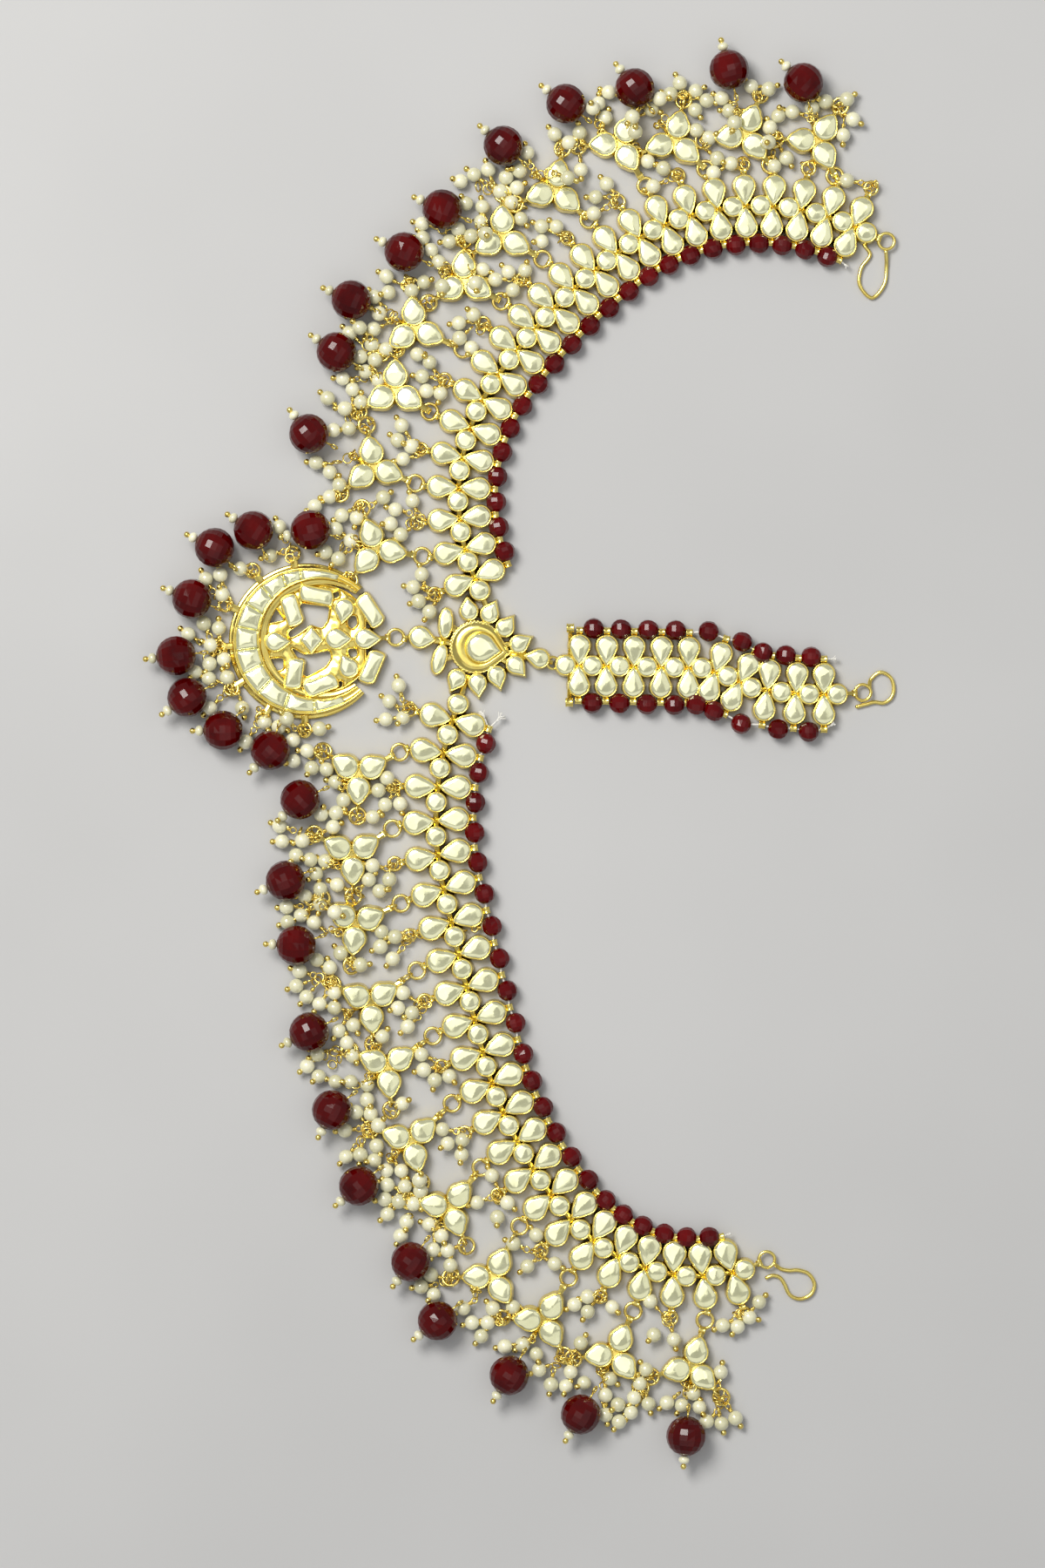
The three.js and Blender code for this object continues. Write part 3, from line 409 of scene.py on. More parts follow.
def tube(path, radius, sides=8, closed=False):
    """Points and faces of a round wire along a path."""
    path = np.asarray(path, float)
    count = len(path)
    radius = np.broadcast_to(radius, count)
    if closed:
        along = np.roll(path, -1, axis=0) - np.roll(path, 1, axis=0)
    else:
        along = np.gradient(path, axis=0)
    along /= np.linalg.norm(along, axis=1)[:, None]
    normal = basis(along[0])[:, 0]
    turn = np.linspace(0, 2 * math.pi, sides, endpoint=False)
    rings = []
    for point, t, r in zip(path, along, radius):
        normal = normal - t * (normal @ t)
        normal /= np.linalg.norm(normal)
        side = np.cross(t, normal)
        rings.append(point + r * (np.outer(np.cos(turn), normal) + np.outer(np.sin(turn), side)))
    points = np.concatenate(rings)
    faces = grid_faces(count, sides, closed)
    if closed:
        return points, faces, None
    ends = np.vstack([path[0], path[-1]])
    n = len(points)
    caps = np.vstack([fan_faces(0, sides, n, True), fan_faces((count - 1) * sides, sides, n + 1)])
    return np.vstack([points, ends]), faces, caps


def add_tube(builder, path, radius, sides=8, closed=False):
    points, faces, caps = tube(path, radius, sides, closed)
    start = builder.total
    builder.add(points, faces)
    if caps is not None:
        builder.faces.append(caps + start)
        builder.smooth.append(np.full(len(caps), False))


def circle(centre, radius, normal=(0, 0, 1), count=20):
    t = np.linspace(0, 2 * math.pi, count, endpoint=False)
    flat = np.column_stack([radius * np.cos(t), radius * np.sin(t), np.zeros(count)])
    return flat @ basis(normal).T + np.asarray(centre, float)


def add_ring(builder, centre, radius=RING_MID, wire=RING_WIRE, normal=(0, 0, 1), count=20, sides=8):
    """A closed wire ring, raised where it would dip into the floor."""
    normal = np.asarray(normal, float) / np.linalg.norm(normal)
    low = radius * math.sqrt(1 - min(normal[2] ** 2, 1)) + wire
    centre = (centre[0], centre[1], max(centre[2], low))
    add_tube(builder, circle(centre, radius, normal, count), wire, sides, closed=True)


def sphere(around, up):
    """A unit ball with its poles on z: points, quads and the two fans."""
    lat = np.linspace(-math.pi / 2, math.pi / 2, up + 1)[1:-1]
    lon = np.linspace(0, 2 * math.pi, around, endpoint=False)
    rings = [np.column_stack([math.cos(a) * np.cos(lon), math.cos(a) * np.sin(lon),
                              np.full(around, math.sin(a))]) for a in lat]
    points = np.vstack(rings + [[(0, 0, -1), (0, 0, 1)]])
    n = len(points)
    fans = np.vstack([fan_faces(0, around, n - 2, True),
                      fan_faces((len(lat) - 1) * around, around, n - 1)])
    return points, grid_faces(len(lat), around), fans


def add_shape(builder, shape, scale, rotation, at, smooth=True):
    points, quads, tris = shape
    start = builder.total
    builder.add((points * scale) @ rotation.T + np.asarray(at, float), quads, smooth)
    if len(tris):
        builder.faces.append(tris + start)
        builder.smooth.append(np.full(len(tris), smooth))


PEARL_BALL = sphere(16, 10)
HEAD_BALL = sphere(8, 6)
BEAD_BALL = sphere(16, 11)
SMALL_BALL = sphere(10, 8)


def faceted(ball, jitter):
    """The same ball with its rows of facets a little uneven."""
    points, quads, tris = ball
    return points * (1 + rng.uniform(-jitter, jitter, (len(points), 1))), quads, tris


def standing_ring(builder, at, z, radius, wire, heading, lean, count=14, sides=7):
    """A ring that stands across a heading and leans back a little."""
    add_ring(builder, (*at, z), radius, wire, np.append(unit(heading + 90), lean), count, sides)


# ---------------- settings and stones
# Each is a step in from the outline and a height: from the floor, then from the top of the rim.
WALL = [(0.0, 0.0), (-0.34, 0.25), (-0.36, 0.7), (-0.12, 1.9)]
RIM = [(0, -0.45), (0, -0.18), (0.06, -0.05), (0.16, 0.0), (0.27, -0.04), (0.34, -0.15), (0.37, -0.6)]
STONE_IN, STONE_SUNK = 0.28, 0.18
# Each is a share of the way out from a stone's middle and of its rise.
DOME = [(1.0, 0.0), (0.96, 0.35), (0.88, 0.6), (0.75, 0.78), (0.55, 0.91), (0.3, 0.98), (0.1, 1.0)]
# Shares of a bar's width and height.
BAR_SECTION = [(-0.5, 0.55), (-0.36, 0.85), (0.0, 1.0), (0.36, 0.85), (0.5, 0.55), (0.5, 0.0), (-0.5, 0.0)]


def setting(gold, stones, outline, at=(0, 0), turn=0.0, top=SETTING_TOP, rise=0.75):
    """A closed gold box round a stone that stands a little above its rim."""
    steps = WALL + [(step, top + level) for step, level in RIM]
    loft(gold, [lifted(placed(inset(outline, step), at, turn), z) for step, z in steps])
    stone(stones, placed(inset(outline, STONE_IN), at, turn), top - STONE_SUNK, rise)


def stone(stones, outline, base, rise):
    """A foiled stone: a low smooth dome, a little askew and with a soft fold across it."""
    middle = outline.mean(axis=0)
    size = 0.5 * np.ptp(outline, axis=0).min()
    tilt = rng.uniform(-0.035, 0.035, 2)
    across = unit(rng.uniform(0, 360))
    fold = rng.uniform(0.03, 0.08)
    offset = rng.uniform(-0.3, 0.3) * size
    rings = []
    for share, height in DOME:
        points = middle + (outline - middle) * share
        away = (points - middle) @ across - offset
        lean = (points - middle) @ tilt - fold * np.sqrt(away ** 2 + 0.04)
        z = base + rise * height + (1 - share ** 2) * lean + (lean - lean.mean()) * 0.5 * share
        rings.append(np.column_stack([points, np.maximum(z, base - 0.1)]))
    loft(stones, rings)


def bar(gold, start, end, width=1.4, low=0.0, high=1.6):
    """A half-round bar."""
    start, end = np.asarray(start, float), np.asarray(end, float)
    along = (end - start) / np.linalg.norm(end - start)
    side = np.array([-along[1], along[0]])
    rings = [np.array([np.append(point + side * a * width, low + b * (high - low)) for a, b in BAR_SECTION])
             for point in (end, start)]
    columns = len(BAR_SECTION)
    gold.add(np.concatenate(rings), grid_faces(2, columns), False)
    for ring, flip in ((rings[0], True), (rings[1], False)):
        gold.add(np.vstack([ring, ring.mean(axis=0)]), fan_faces(0, columns, columns, flip), False)


def lug_bar(gold, start, end, heading):
    """A thin bar to an eye at its end."""
    bar(gold, start, end, *LUG_BAR)
    barrel(gold, end, heading, 1.7, 0.85)


def barrel(gold, at, heading, length=1.7, radius=0.85, z=1.6):
    """A short tube with rolled ends."""
    steps = np.array([-0.5, -0.42, -0.3, 0.3, 0.42, 0.5]) * length
    radii = np.array([0.86, 1.0, 0.88, 0.88, 1.0, 0.86]) * radius
    path = [np.append(ahead(at, heading, s), z) for s in steps]
    add_tube(gold, path, radii, 10)


# ---------------- materials
def node(tree, kind, **values):
    """A new node with its inputs or settings."""
    made = tree.nodes.new(kind)
    for key, value in values.items():
        if key in made.inputs:
            made.inputs[key].default_value = value
        else:
            setattr(made, key, value)
    return made


def ramp(tree, source, stops):
    """A colour ramp over a value."""
    made = node(tree, "ShaderNodeValToRGB")
    elements = made.color_ramp.elements
    for i, (place, colour) in enumerate(stops):
        element = elements[i] if i < 2 else elements.new(place)
        element.position = place
        element.color = (*colour, 1)
    tree.links.new(source, made.inputs["Fac"])
    return made.outputs["Color"]


def noise(tree, scale, detail=2.0):
    """Noise in the object's own coordinates."""
    coordinates = node(tree, "ShaderNodeTexCoord")
    made = node(tree, "ShaderNodeTexNoise", Scale=scale, Detail=detail)
    tree.links.new(coordinates.outputs["Object"], made.inputs["Vector"])
    return made.outputs["Fac"]


def levels(tree, source, low, high):
    """The middle of a noise's range, spread from low to high."""
    made = node(tree, "ShaderNodeMapRange")
    made.inputs["From Min"].default_value = 0.3
    made.inputs["From Max"].default_value = 0.7
    made.inputs["To Min"].default_value = low
    made.inputs["To Max"].default_value = high
    tree.links.new(source, made.inputs["Value"])
    return made.outputs["Result"]


def material(name, tone, rough=None, bump=None, **inputs):
    """A material with a mottled tone, and with a mottled roughness and a bump where they are given.

    tone is a noise's scale and detail, or None for one tone to each ball, and its stops; rough is a
    scale, lowest and highest; bump is a scale, detail, strength and distance; inputs are plain values.
    """
    mat = bpy.data.materials.new(name)
    mat.use_nodes = True
    tree = mat.node_tree
    shader = tree.nodes["Principled BSDF"]
    for key, value in inputs.items():
        shader.inputs[key.replace("_", " ")].default_value = value
    spread, *stops = tone
    if spread:
        source = noise(tree, *spread)
    else:
        source = node(tree, "ShaderNodeNewGeometry").outputs["Random Per Island"]
    tree.links.new(ramp(tree, source, stops), shader.inputs["Base Color"])
    if rough:
        scale, low, high = rough
        tree.links.new(levels(tree, noise(tree, scale), low, high), shader.inputs["Roughness"])
    if bump:
        scale, detail, strength, distance = bump
        source = noise(tree, scale, detail)
        made = node(tree, "ShaderNodeBump", Strength=strength, Distance=distance)
        tree.links.new(source, made.inputs["Height"])
        tree.links.new(made.outputs["Normal"], shader.inputs["Normal"])
    return mat


def red_glass(name, dark, bright):
    return material(name, ((140, 4.0), (0.3, dark), (0.72, bright)), Roughness=0.06, IOR=1.46,
                    Specular_IOR_Level=0.25, Transmission_Weight=0.25)


GOLD = material("polished_gold", ((260, 3.0), (0.3, (0.84, 0.63, 0.14)), (0.7, (0.95, 0.80, 0.25))),
                (700, 0.12, 0.24), (900, 2.0, 0.09, 0.0001), Metallic=1.0)
WIRE = material("gold_wire", ((420, 2.0), (0.3, (0.76, 0.56, 0.13)), (0.7, (0.92, 0.76, 0.24))),
                (900, 0.18, 0.36), Metallic=1.0)
STONE = material("foiled_stone", ((260, 2.0), (0.3, (0.85, 0.845, 0.51)), (0.65, (0.96, 0.955, 0.61))),
                 (500, 0.06, 0.16), (330, 1.0, 0.16, 0.0003), Metallic=0.8, Coat_Weight=1.0,
                 Coat_Roughness=0.03, Coat_IOR=1.5)
PEARL_SHELL = material("pearl", (None, (0.0, (0.60, 0.58, 0.36)), (0.5, (0.72, 0.70, 0.47)),
                                 (1.0, (0.82, 0.80, 0.57))), (900, 0.2, 0.34), (1500, 2.0, 0.06, 0.0001),
                       Coat_Weight=1.0, Coat_Roughness=0.08, Coat_IOR=1.8, Sheen_Weight=0.15)
RED_LARGE = red_glass("maroon_glass", (0.052, 0.0, 0.0005), (0.125, 0.001, 0.001))
RED_SMALL = red_glass("red_glass", (0.075, 0.0, 0.001), (0.17, 0.002, 0.003))
COTTON = material("cotton_thread", ((2500, 2.0), (0.3, (0.66, 0.65, 0.6)), (0.7, (0.88, 0.87, 0.83))),
                  bump=(3500, 2.0, 0.5, 0.0001), Roughness=0.85)

# ---------------- pearls on pins
obstacles = []  # x, y, radius, height of what pearls lie against
large_beads = []  # x, y, z
anchor_rows = []  # group, place of a ring that pearls hang on


def keep_off(at, radius, height):
    obstacles.append((*at, radius, height))


def pin_template(with_loop):
    """A pin along z through a pearl at the origin: its head, and its wrapped loop below."""
    made = Builder()
    add_shape(made, HEAD_BALL, 0.82, np.eye(3), (0, 0, PEARL + 0.5))
    if not with_loop:
        return made
    add_tube(made, [(0, 0, -PEARL + 0.1), (0, 0, -PEARL - 1.0)], PIN_WIRE, 6)
    t = np.linspace(0, 1, 24)
    turns = 2 * math.pi * 2.6 * t
    helix = np.column_stack([0.42 * np.cos(turns), 0.42 * np.sin(turns), -PEARL - 0.1 - 0.85 * t])
    add_tube(made, helix, 0.2, 5)
    add_tube(made, circle((0, 0, -PEARL - 1.75), 0.8, (0, 1, 0), 14), PIN_WIRE, 6, closed=True)
    return made


PINS = {True: pin_template(True), False: pin_template(False)}


def add_pin(builder, at, axis, spin, with_loop=True):
    template = PINS[with_loop]
    turn = basis(axis, spin)
    start = builder.total
    for points in template.points:
        builder.points.append(points @ turn.T + at)
    for faces, smooth in zip(template.faces, template.smooth):
        builder.faces.append(faces + start)
        builder.smooth.append(smooth)
    builder.total += template.total


def pushes(at, others, clear, apart=0.0):
    """The way each pearl is pushed by the balls that it is too near."""
    gap = at[:, None] - others[None]
    distance = np.linalg.norm(gap, axis=2) + apart
    push = np.clip(clear - distance, 0, None)
    return (gap / distance[..., None] * push[..., None]).sum(axis=1)


def settle_pearls():
    """Gives each pearl its nearest ring and its height in the pile."""
    anchors = np.array([spot for _, spot in anchor_rows])
    at = np.column_stack([np.array(PEARL_PLACES, float), np.full(len(PEARL_PLACES), PEARL)])
    home = at[:, :2].copy()
    discs, beads = np.array(obstacles), np.array(large_beads)
    close = 1.7 * PEARL
    itself = np.eye(len(at)) * 99  # a pearl is never near itself
    for i in range(len(at)):
        below = np.linalg.norm(at[:i, :2] - at[i, :2], axis=1)
        near = below < close
        if near.any():
            at[i, 2] = min((at[:i][near, 2] + 1.2 + 0.5 * (close - below[near])).max(), 7.5)
    for _ in range(140):
        move = np.zeros_like(at)
        # Pearls push each other apart, and large beads and settings push them aside.
        move += 0.45 * pushes(at, at, 2 * PEARL + 0.03, itself)
        move[:, :2] += 0.9 * pushes(at, beads, LARGE_BEAD + PEARL + 0.05)[:, :2]
        flat = at[:, None, :2] - discs[None, :, :2]
        distance = np.linalg.norm(flat, axis=2) + 1e-6
        inside = np.clip(discs[:, 2] + PEARL - distance, 0, None)
        under = np.clip(discs[:, 3] + PEARL - at[:, 2, None], 0, None)
        # One that is nearly on top of a setting is lifted onto it.
        hit = (inside > 0) & (under > 0)
        over = hit & ((under < 1.6) | (inside > 1.5))
        side = hit & ~over
        move[:, :2] += 0.6 * (flat / distance[..., None] * (inside * side)[..., None]).sum(axis=1)
        move[:, 2] += 0.5 * np.minimum((under * over).max(axis=1), 1.0)
        # Each is drawn back to its own place and sinks.
        move[:, :2] += 0.12 * (home - at[:, :2])
        move[:, 2] -= 0.05
        at += np.clip(move, -0.9, 0.9)
        at[:, 2] = np.clip(at[:, 2], PEARL, PILE_TOP - PEARL)
    reach = np.linalg.norm(at[:, None, :2] - anchors[None, :, :2], axis=2)
    return at, reach.argmin(axis=1)


def pin_axis(at, anchor, upright):
    """The way a pearl's pin points: out from its ring, or nearly up, and never into the floor."""
    along = at - anchor
    along /= np.linalg.norm(along)
    if upright:
        along = along * np.array([0.5, 0.5, 0]) + np.array([0, 0, 0.85])
    else:
        along = along * np.array([1, 1, 0.5]) + rng.uniform(-0.3, 0.3, 3) * np.array([1, 1, 0.6])
    along /= np.linalg.norm(along)
    rise = np.clip(along[2], -(at[2] - 0.85) / 2.6, (at[2] - 1.0) / 4.6 + (0.35 if upright else 0))
    return np.append(along[:2] / np.linalg.norm(along[:2]) * math.sqrt(1 - rise ** 2), rise)


def make_pearls(groups):
    """The pearls on their pins, with small rings from each pin to the ring that it hangs on."""
    for group, spot in anchor_rows:
        for _ in range(3):
            middle = spot + rng.uniform(-1, 1, 3) * (1.3, 1.3, 0.3) + (0, 0, 0.7)
            add_ring(groups[group]["pins"], middle, rng.uniform(0.7, 1.2), PIN_WIRE,
                     rng.normal(size=3), 12, 6)
    for at, index in zip(*settle_pearls()):
        group, anchor = anchor_rows[index]
        pins, pearls = groups[group]["pins"], groups[group]["pearls"]
        upright = rng.random() < 0.16
        along = pin_axis(at, anchor, upright)
        size = rng.uniform(0.96, 1.03)
        turn = basis(along, rng.uniform(0, 6.28))
        add_shape(pearls, PEARL_BALL, PEARL * size, turn, at)
        add_pin(pins, at, along, rng.uniform(0, 6.28), with_loop=not upright)
        foot = at - along * PIN_LOOP
        foot[2] = max(foot[2], 0.7)
        gap = anchor - foot
        reach = np.linalg.norm(gap)
        links = min(int(reach / 2.2), 3)
        for k in range(links):
            middle = foot + gap * (k + 0.5) / links
            add_ring(pins, middle, min(reach / links * 0.5, 1.3), PIN_WIRE,
                     rng.normal(size=3) + (0, 0, 0.6), 12, 6)


def hanging_ring(pins, at, heading, z=RING_HEIGHT, radius=RING_MID):
    """A ring that lies nearly flat, tilted about the way it hangs."""
    normal = np.array([0, 0, 1.0]) + rng.uniform(-0.5, 0.5) * np.append(unit(heading + 90), 0)
    add_ring(pins, np.append(at, z), radius, 0.4, normal)


# ---------------- bands
def band_settings(gold, stones, band):
    """Each link's two drops tip to tip, and the round stones between the links."""
    links = links_of(band)
    half, nudge = band["half"], band["nudge"]
    for link in links:
        middle, out = link["middle"], link["out"]
        for way in (1, -1):
            centre = ahead(middle, out, way * (half - LINK_DROP_IN))
            setting(gold, stones, teardrop(*band["drop"]), centre, out + (180 if way > 0 else 0))
            keep_off(centre, 2.7, 3.8)
            keep_off(ahead(centre, out, way * 1.4), 2.3, 3.8)
        bar(gold, ahead(middle, out, -half), ahead(middle, out, half), 1.8, 0.2, 1.8)
        bar(gold, link["start"], link["end"], 1.6, 0.2, 2.6)
    rounds = [(links[0], links[0]["start"], max(nudge, 0))]
    rounds += [(link, link["end"], nudge) for link in links[:-1]]
    rounds += [(links[-1], links[-1]["end"], min(nudge, 0))]
    for link, end, step in rounds:
        point = ahead(end, link["heading"], step)
        setting(gold, stones, oval(ROUND_STONE, ROUND_STONE, 22), point, rng.uniform(0, 360), rise=0.7)
        keep_off(point, 2.4, 3.8)


def tuft(thread, root, heading, length):
    """The frayed end of a thread: a short stalk that opens into a few loose strands."""
    fork = np.append(ahead(root[:2], heading, 0.55 * length), root[2])
    add_tube(thread, [root, fork], THREAD, 6)
    for _ in range(8):
        bend = ahead(fork[:2], heading + rng.uniform(-20, 20), 0.25 * length)
        tip = ahead(bend, heading + rng.uniform(-55, 55), 0.25 * length)
        heights = root[2] + rng.uniform(-0.5, 0.5, 2)
        strand = smooth_path([fork, (*bend, heights[0]), (*tip, heights[1])], 3)
        add_tube(thread, strand, 0.12, 5)


def bead_string(beads, gold, thread, band, side, tails):
    """Small beads and gold tubes, by turns, on a thread along one edge of a band."""
    links = links_of(band)
    reach = band["half"] + 0.45 * LINK_LENGTH + 0.35 + TUBE_RADIUS
    route, before = [], None
    for link in links:
        tube_at = ahead(link["middle"], link["out"], side * reach)
        if before is not None:
            out = (link["out"] + before["out"]) / 2
            at = ahead(link["start"], out, side * (reach + 0.6))
            axis = np.append(tube_at - ahead(before["middle"], before["out"], side * reach), 0)
            turn = basis(axis, rng.uniform(0, 6.28))
            add_shape(beads, faceted(SMALL_BALL, 0.02), SMALL_BEAD, turn, (*at, SMALL_BEAD_HEIGHT),
                      smooth=False)
            route.append((*at, SMALL_BEAD_HEIGHT))
        route.append((*tube_at, TUBE_HEIGHT))
        barrel(gold, tube_at, link["heading"], TUBE_LENGTH, TUBE_LIP, TUBE_HEIGHT)
        inner = ahead(link["middle"], link["out"], side * (reach - TUBE_RADIUS - 1.0))
        bar(gold, inner, tube_at, *LUG_BAR)
        before = link
    add_tube(thread, route, THREAD, 6)
    for end, last, ways in ((route[0], route[1], tails[0]), (route[-1], route[-2], tails[1])):
        heading = math.degrees(math.atan2(end[1] - last[1], end[0] - last[0]))
        for turn, length in ways:
            tuft(thread, np.array(end), heading + turn, length)


def seed_heading(at, heading):
    """The way to a large bead's seed pearl: to its place in SEEDS, or else straight on."""
    for x, y in SEEDS:
        if math.hypot(x - at[0], y - at[1]) < SEED_REACH:
            return math.degrees(math.atan2(y - at[1], x - at[0]))
    return heading


def large_bead(beads, pearls, pins, at, heading):
    """A large bead on a pin, with a seed pearl before it and its loop behind it."""
    z, onward = LARGE_BEAD_HEIGHT, seed_heading(at, heading)
    axis = np.append(unit(onward), 0)
    add_shape(beads, faceted(BEAD_BALL, 0.008), LARGE_BEAD, basis(axis, rng.uniform(0, 6.28)), (*at, z),
              smooth=False)
    large_beads.append((*at, z))
    seed = ahead(at, onward, LARGE_BEAD + 1.0)
    add_shape(pearls, PEARL_BALL, (1.45, 1.45, 1.15), basis(axis), (*seed, z))
    add_shape(pins, HEAD_BALL, 0.8, basis(axis), (*ahead(seed, onward, 1.75), z))
    near = ahead(at, heading, -LARGE_BEAD - 1.2)
    add_tube(pins, [(*ahead(at, heading, -LARGE_BEAD + 0.4), z), (*near, z - 0.4)], 0.26, 6)
    standing_ring(pins, ahead(near, heading, -0.9), z - 0.8, 0.95, 0.25, heading, 0.4, sides=6)


def tilt_since(marks, centre, axis, degrees):
    """Turns what was added to each builder since its mark about a level axis, and lifts it clear."""
    turn = np.array(Matrix.Rotation(math.radians(degrees), 3, Vector(axis)))
    low = 0.0
    for builder, mark in marks:
        for k in range(mark, len(builder.points)):
            builder.points[k] = (builder.points[k] - centre) @ turn.T + centre
            low = min(low, builder.points[k][:, 2].min())
    for builder, mark in marks:
        for k in range(mark, len(builder.points)):
            builder.points[k] = builder.points[k] - (0, 0, low)


def trefoil(gold, stones, pins, pearls, beads, group, lug, row):
    """Three drops round a heart, hung from a link's lug, with its rings and its large bead."""
    _, hang, reach, bead_heading, drop = row
    centre = ahead(lug, hang, reach)
    marks = [(gold, len(gold.points)), (stones, len(stones.points))]
    for angle in (60, 180, 300):
        at = ahead(centre, hang + angle, TREFOIL_REACH)
        setting(gold, stones, teardrop(*TREFOIL_STONE), at, hang + angle)
        keep_off(at, 3.0, 4.4)
        keep_off(ahead(at, hang + angle, 2.4), 1.2, 4.2)
    heart = oval(*TREFOIL_HEART, 12)
    loft(gold, [lifted(placed(inset(heart, step), centre), z) for step, z in HEART_STEPS])
    lobe = TREFOIL_REACH + 2.8
    tip = ahead(centre, hang + 180, TREFOIL_REACH + TREFOIL_STONE[0] / 2 + 1.6)
    bar(gold, ahead(centre, hang + 180, lobe), tip, 1.5, 0.9, 2.6)
    corners = [hang + angle for angle in (60, 300)]
    for heading in corners:
        bar(gold, ahead(centre, heading, lobe), ahead(centre, heading, lobe + 1.8), 1.3, 0.8, 2.4)
    spin = rng.uniform(0, 2 * math.pi)
    tilt_since(marks, np.append(centre, 0), (math.cos(spin), math.sin(spin), 0), rng.uniform(1.5, 5.0))
    ring_at = ahead(lug, hang, RING_MID)
    barrel(gold, tip, hang + 90, 1.8, 0.95, 1.9)
    add_ring(pins, (*ring_at, RING_HEIGHT))
    gap = np.linalg.norm(tip - ring_at) - RING_MID
    if gap > 0.9:
        standing_ring(pins, ahead(tip, hang + 180, gap / 2 + 0.2), 1.7, max(gap / 2 + 0.4, 1.1), 0.34,
                      hang, 0.25, 16)
    for heading in corners:
        loop = ahead(centre, heading, TREFOIL_REACH + 4.9)
        standing_ring(pins, loop, 1.9, 1.0, 0.32, heading, 0.3)
        anchor = ahead(loop, heading, 1.8)
        hanging_ring(pins, anchor, heading, 1.7)
        anchor_rows.append((group, np.append(anchor, 1.8)))
    crotch = ahead(centre, bead_heading, TREFOIL_CROTCH)
    bar(gold, ahead(centre, bead_heading, 2.0), crotch, *LUG_BAR)
    standing_ring(pins, ahead(crotch, bead_heading, 1.0), 2.2, 1.2, 0.32, bead_heading, 0.4)
    large_bead(beads, pearls, pins, ahead(centre, bead_heading, drop), bead_heading)
    anchor_rows.append((group, np.append(ahead(crotch, bead_heading, 1.4), 2.2)))


def arm(side, band, trefoils, tails):
    """One arm: its band and bead string, and a trefoil or a pearl bunch's ring on each link's lug."""
    made = {kind: Builder() for kind in ("gold", "stones", "pins", "pearls", "beads", "small", "thread")}
    gold, stones, pins, pearls, beads, small, thread = made.values()
    band_settings(gold, stones, band)
    bead_string(small, gold, thread, band, -1, tails)
    rows = {row[0]: row for row in trefoils}
    edge = band["half"] + LINK_LENGTH / 2
    for link in links_of(band):
        middle, out = link["middle"], link["out"]
        row = rows.get(link["number"])
        lug = ahead(middle, out, edge + LUG_STAND)
        bar(gold, ahead(middle, out, edge - 0.4), lug, 1.2, 0.8, 2.4)
        barrel(gold, lug, (row[1] if row else out) + 90, 1.7, 0.9)
        if row:
            trefoil(gold, stones, pins, pearls, beads, side, lug, row)
        else:
            anchor = ahead(lug, out, 1.8)
            hanging_ring(pins, anchor, out, radius=1.7)
            anchor_rows.append((side, np.append(anchor, 1.6)))
    return made


# ---------------- the star brooch
def star():
    """The domed drop in its milled border, with its petals, ovals and drops round it."""
    gold, stones = Builder(), Builder()

    def add_stone(outline, x, y, tip, width, radius, rise):
        at = placed(np.array([[x, y]]), (0, 0), STAR_TURN)[0]
        setting(gold, stones, outline, at, tip + STAR_TURN, rise=rise)
        bar(gold, (0, 0), at, width, 0.2, 2.2)
        keep_off(at, radius, 3.9)

    for mirror in (1, -1):
        for x, y, tip in STAR_PETALS:
            add_stone(leaf(*PETAL), x, mirror * y, mirror * tip, 1.8, 2.8, 0.7)
        x, y = STAR_OVAL_AT
        add_stone(rounded(oval(*STAR_OVAL, 10), 0.6, 3), x, mirror * y, 90 + mirror * 6, 2.0, 3.0, 0.6)
    for x, size, tip in STAR_DROPS:
        add_stone(teardrop(*size, bulge=0.01), x, 0, tip, 2.0, 3.0, 0.75)
    outer = leaf(*STAR_CENTRE, STAR_STEPS)
    inner = leaf(*STAR_STONE, STAR_STEPS) + (STAR_STONE_X, 0)
    notches = np.where(np.arange(STAR_STEPS) % 3 == 0, NOTCH, 0.0)[:, None]
    rings = []
    for share, z, milled in STAR_BORDER:
        outline = outer + (inner - outer) * (share + milled * notches)
        rings.append(lifted(placed(outline, (0, 0), STAR_TURN), z))
    loft(gold, rings)
    middle = placed(np.array([[STAR_STONE_X, 0]]), (0, 0), STAR_TURN)[0]
    star_stone = inset(leaf(*STAR_STONE, 36), -0.25)
    setting(gold, stones, star_stone, middle, STAR_TURN, top=STAR_STONE_TOP, rise=0.95)
    add_ring(gold, (*TIKKA_RING, RING_HEIGHT))
    tip = ahead(TIKKA_RING, STAR_TURN, RING_MID + 0.2)
    lug_bar(gold, ahead((0, 0), STAR_TURN, STAR_FRONT - 3.4), tip, STAR_TURN + 90)
    bar(gold, ahead((0, 0), STAR_TURN, STAR_BACK), STRAP_MEET, 1.2, 0.6, 2.2)
    add_ring(gold, (*STRAP_MEET, 2.4), 1.6, 0.35, (0.25, 0.1, 1))
    for band in (RIGHT_ARM, LEFT_ARM):
        bar(gold, ahead(band["start"], band["heading"], -8.0), band["start"], 1.4, 0.2, 1.8)
    return dict(gold=gold, stones=stones)


# ---------------- the crescent pendant
def crescent_arc(angle):
    """The point of the channel's inner edge in a direction from the crescent's centre."""
    direction = unit(angle)
    hx, hy, hr = HOLLOW
    b = direction @ np.array([hx, hy])
    return direction * (b + math.sqrt(max(b * b - (hx * hx + hy * hy - hr * hr), 0)))


def channel(angle):
    """How far out the channel's inner edge is there, and how much narrower it is than in the middle."""
    edge = np.linalg.norm(crescent_arc(angle))
    return edge, min(1.0, (CRESCENT_RADIUS - edge) / CHANNEL_WIDTH)


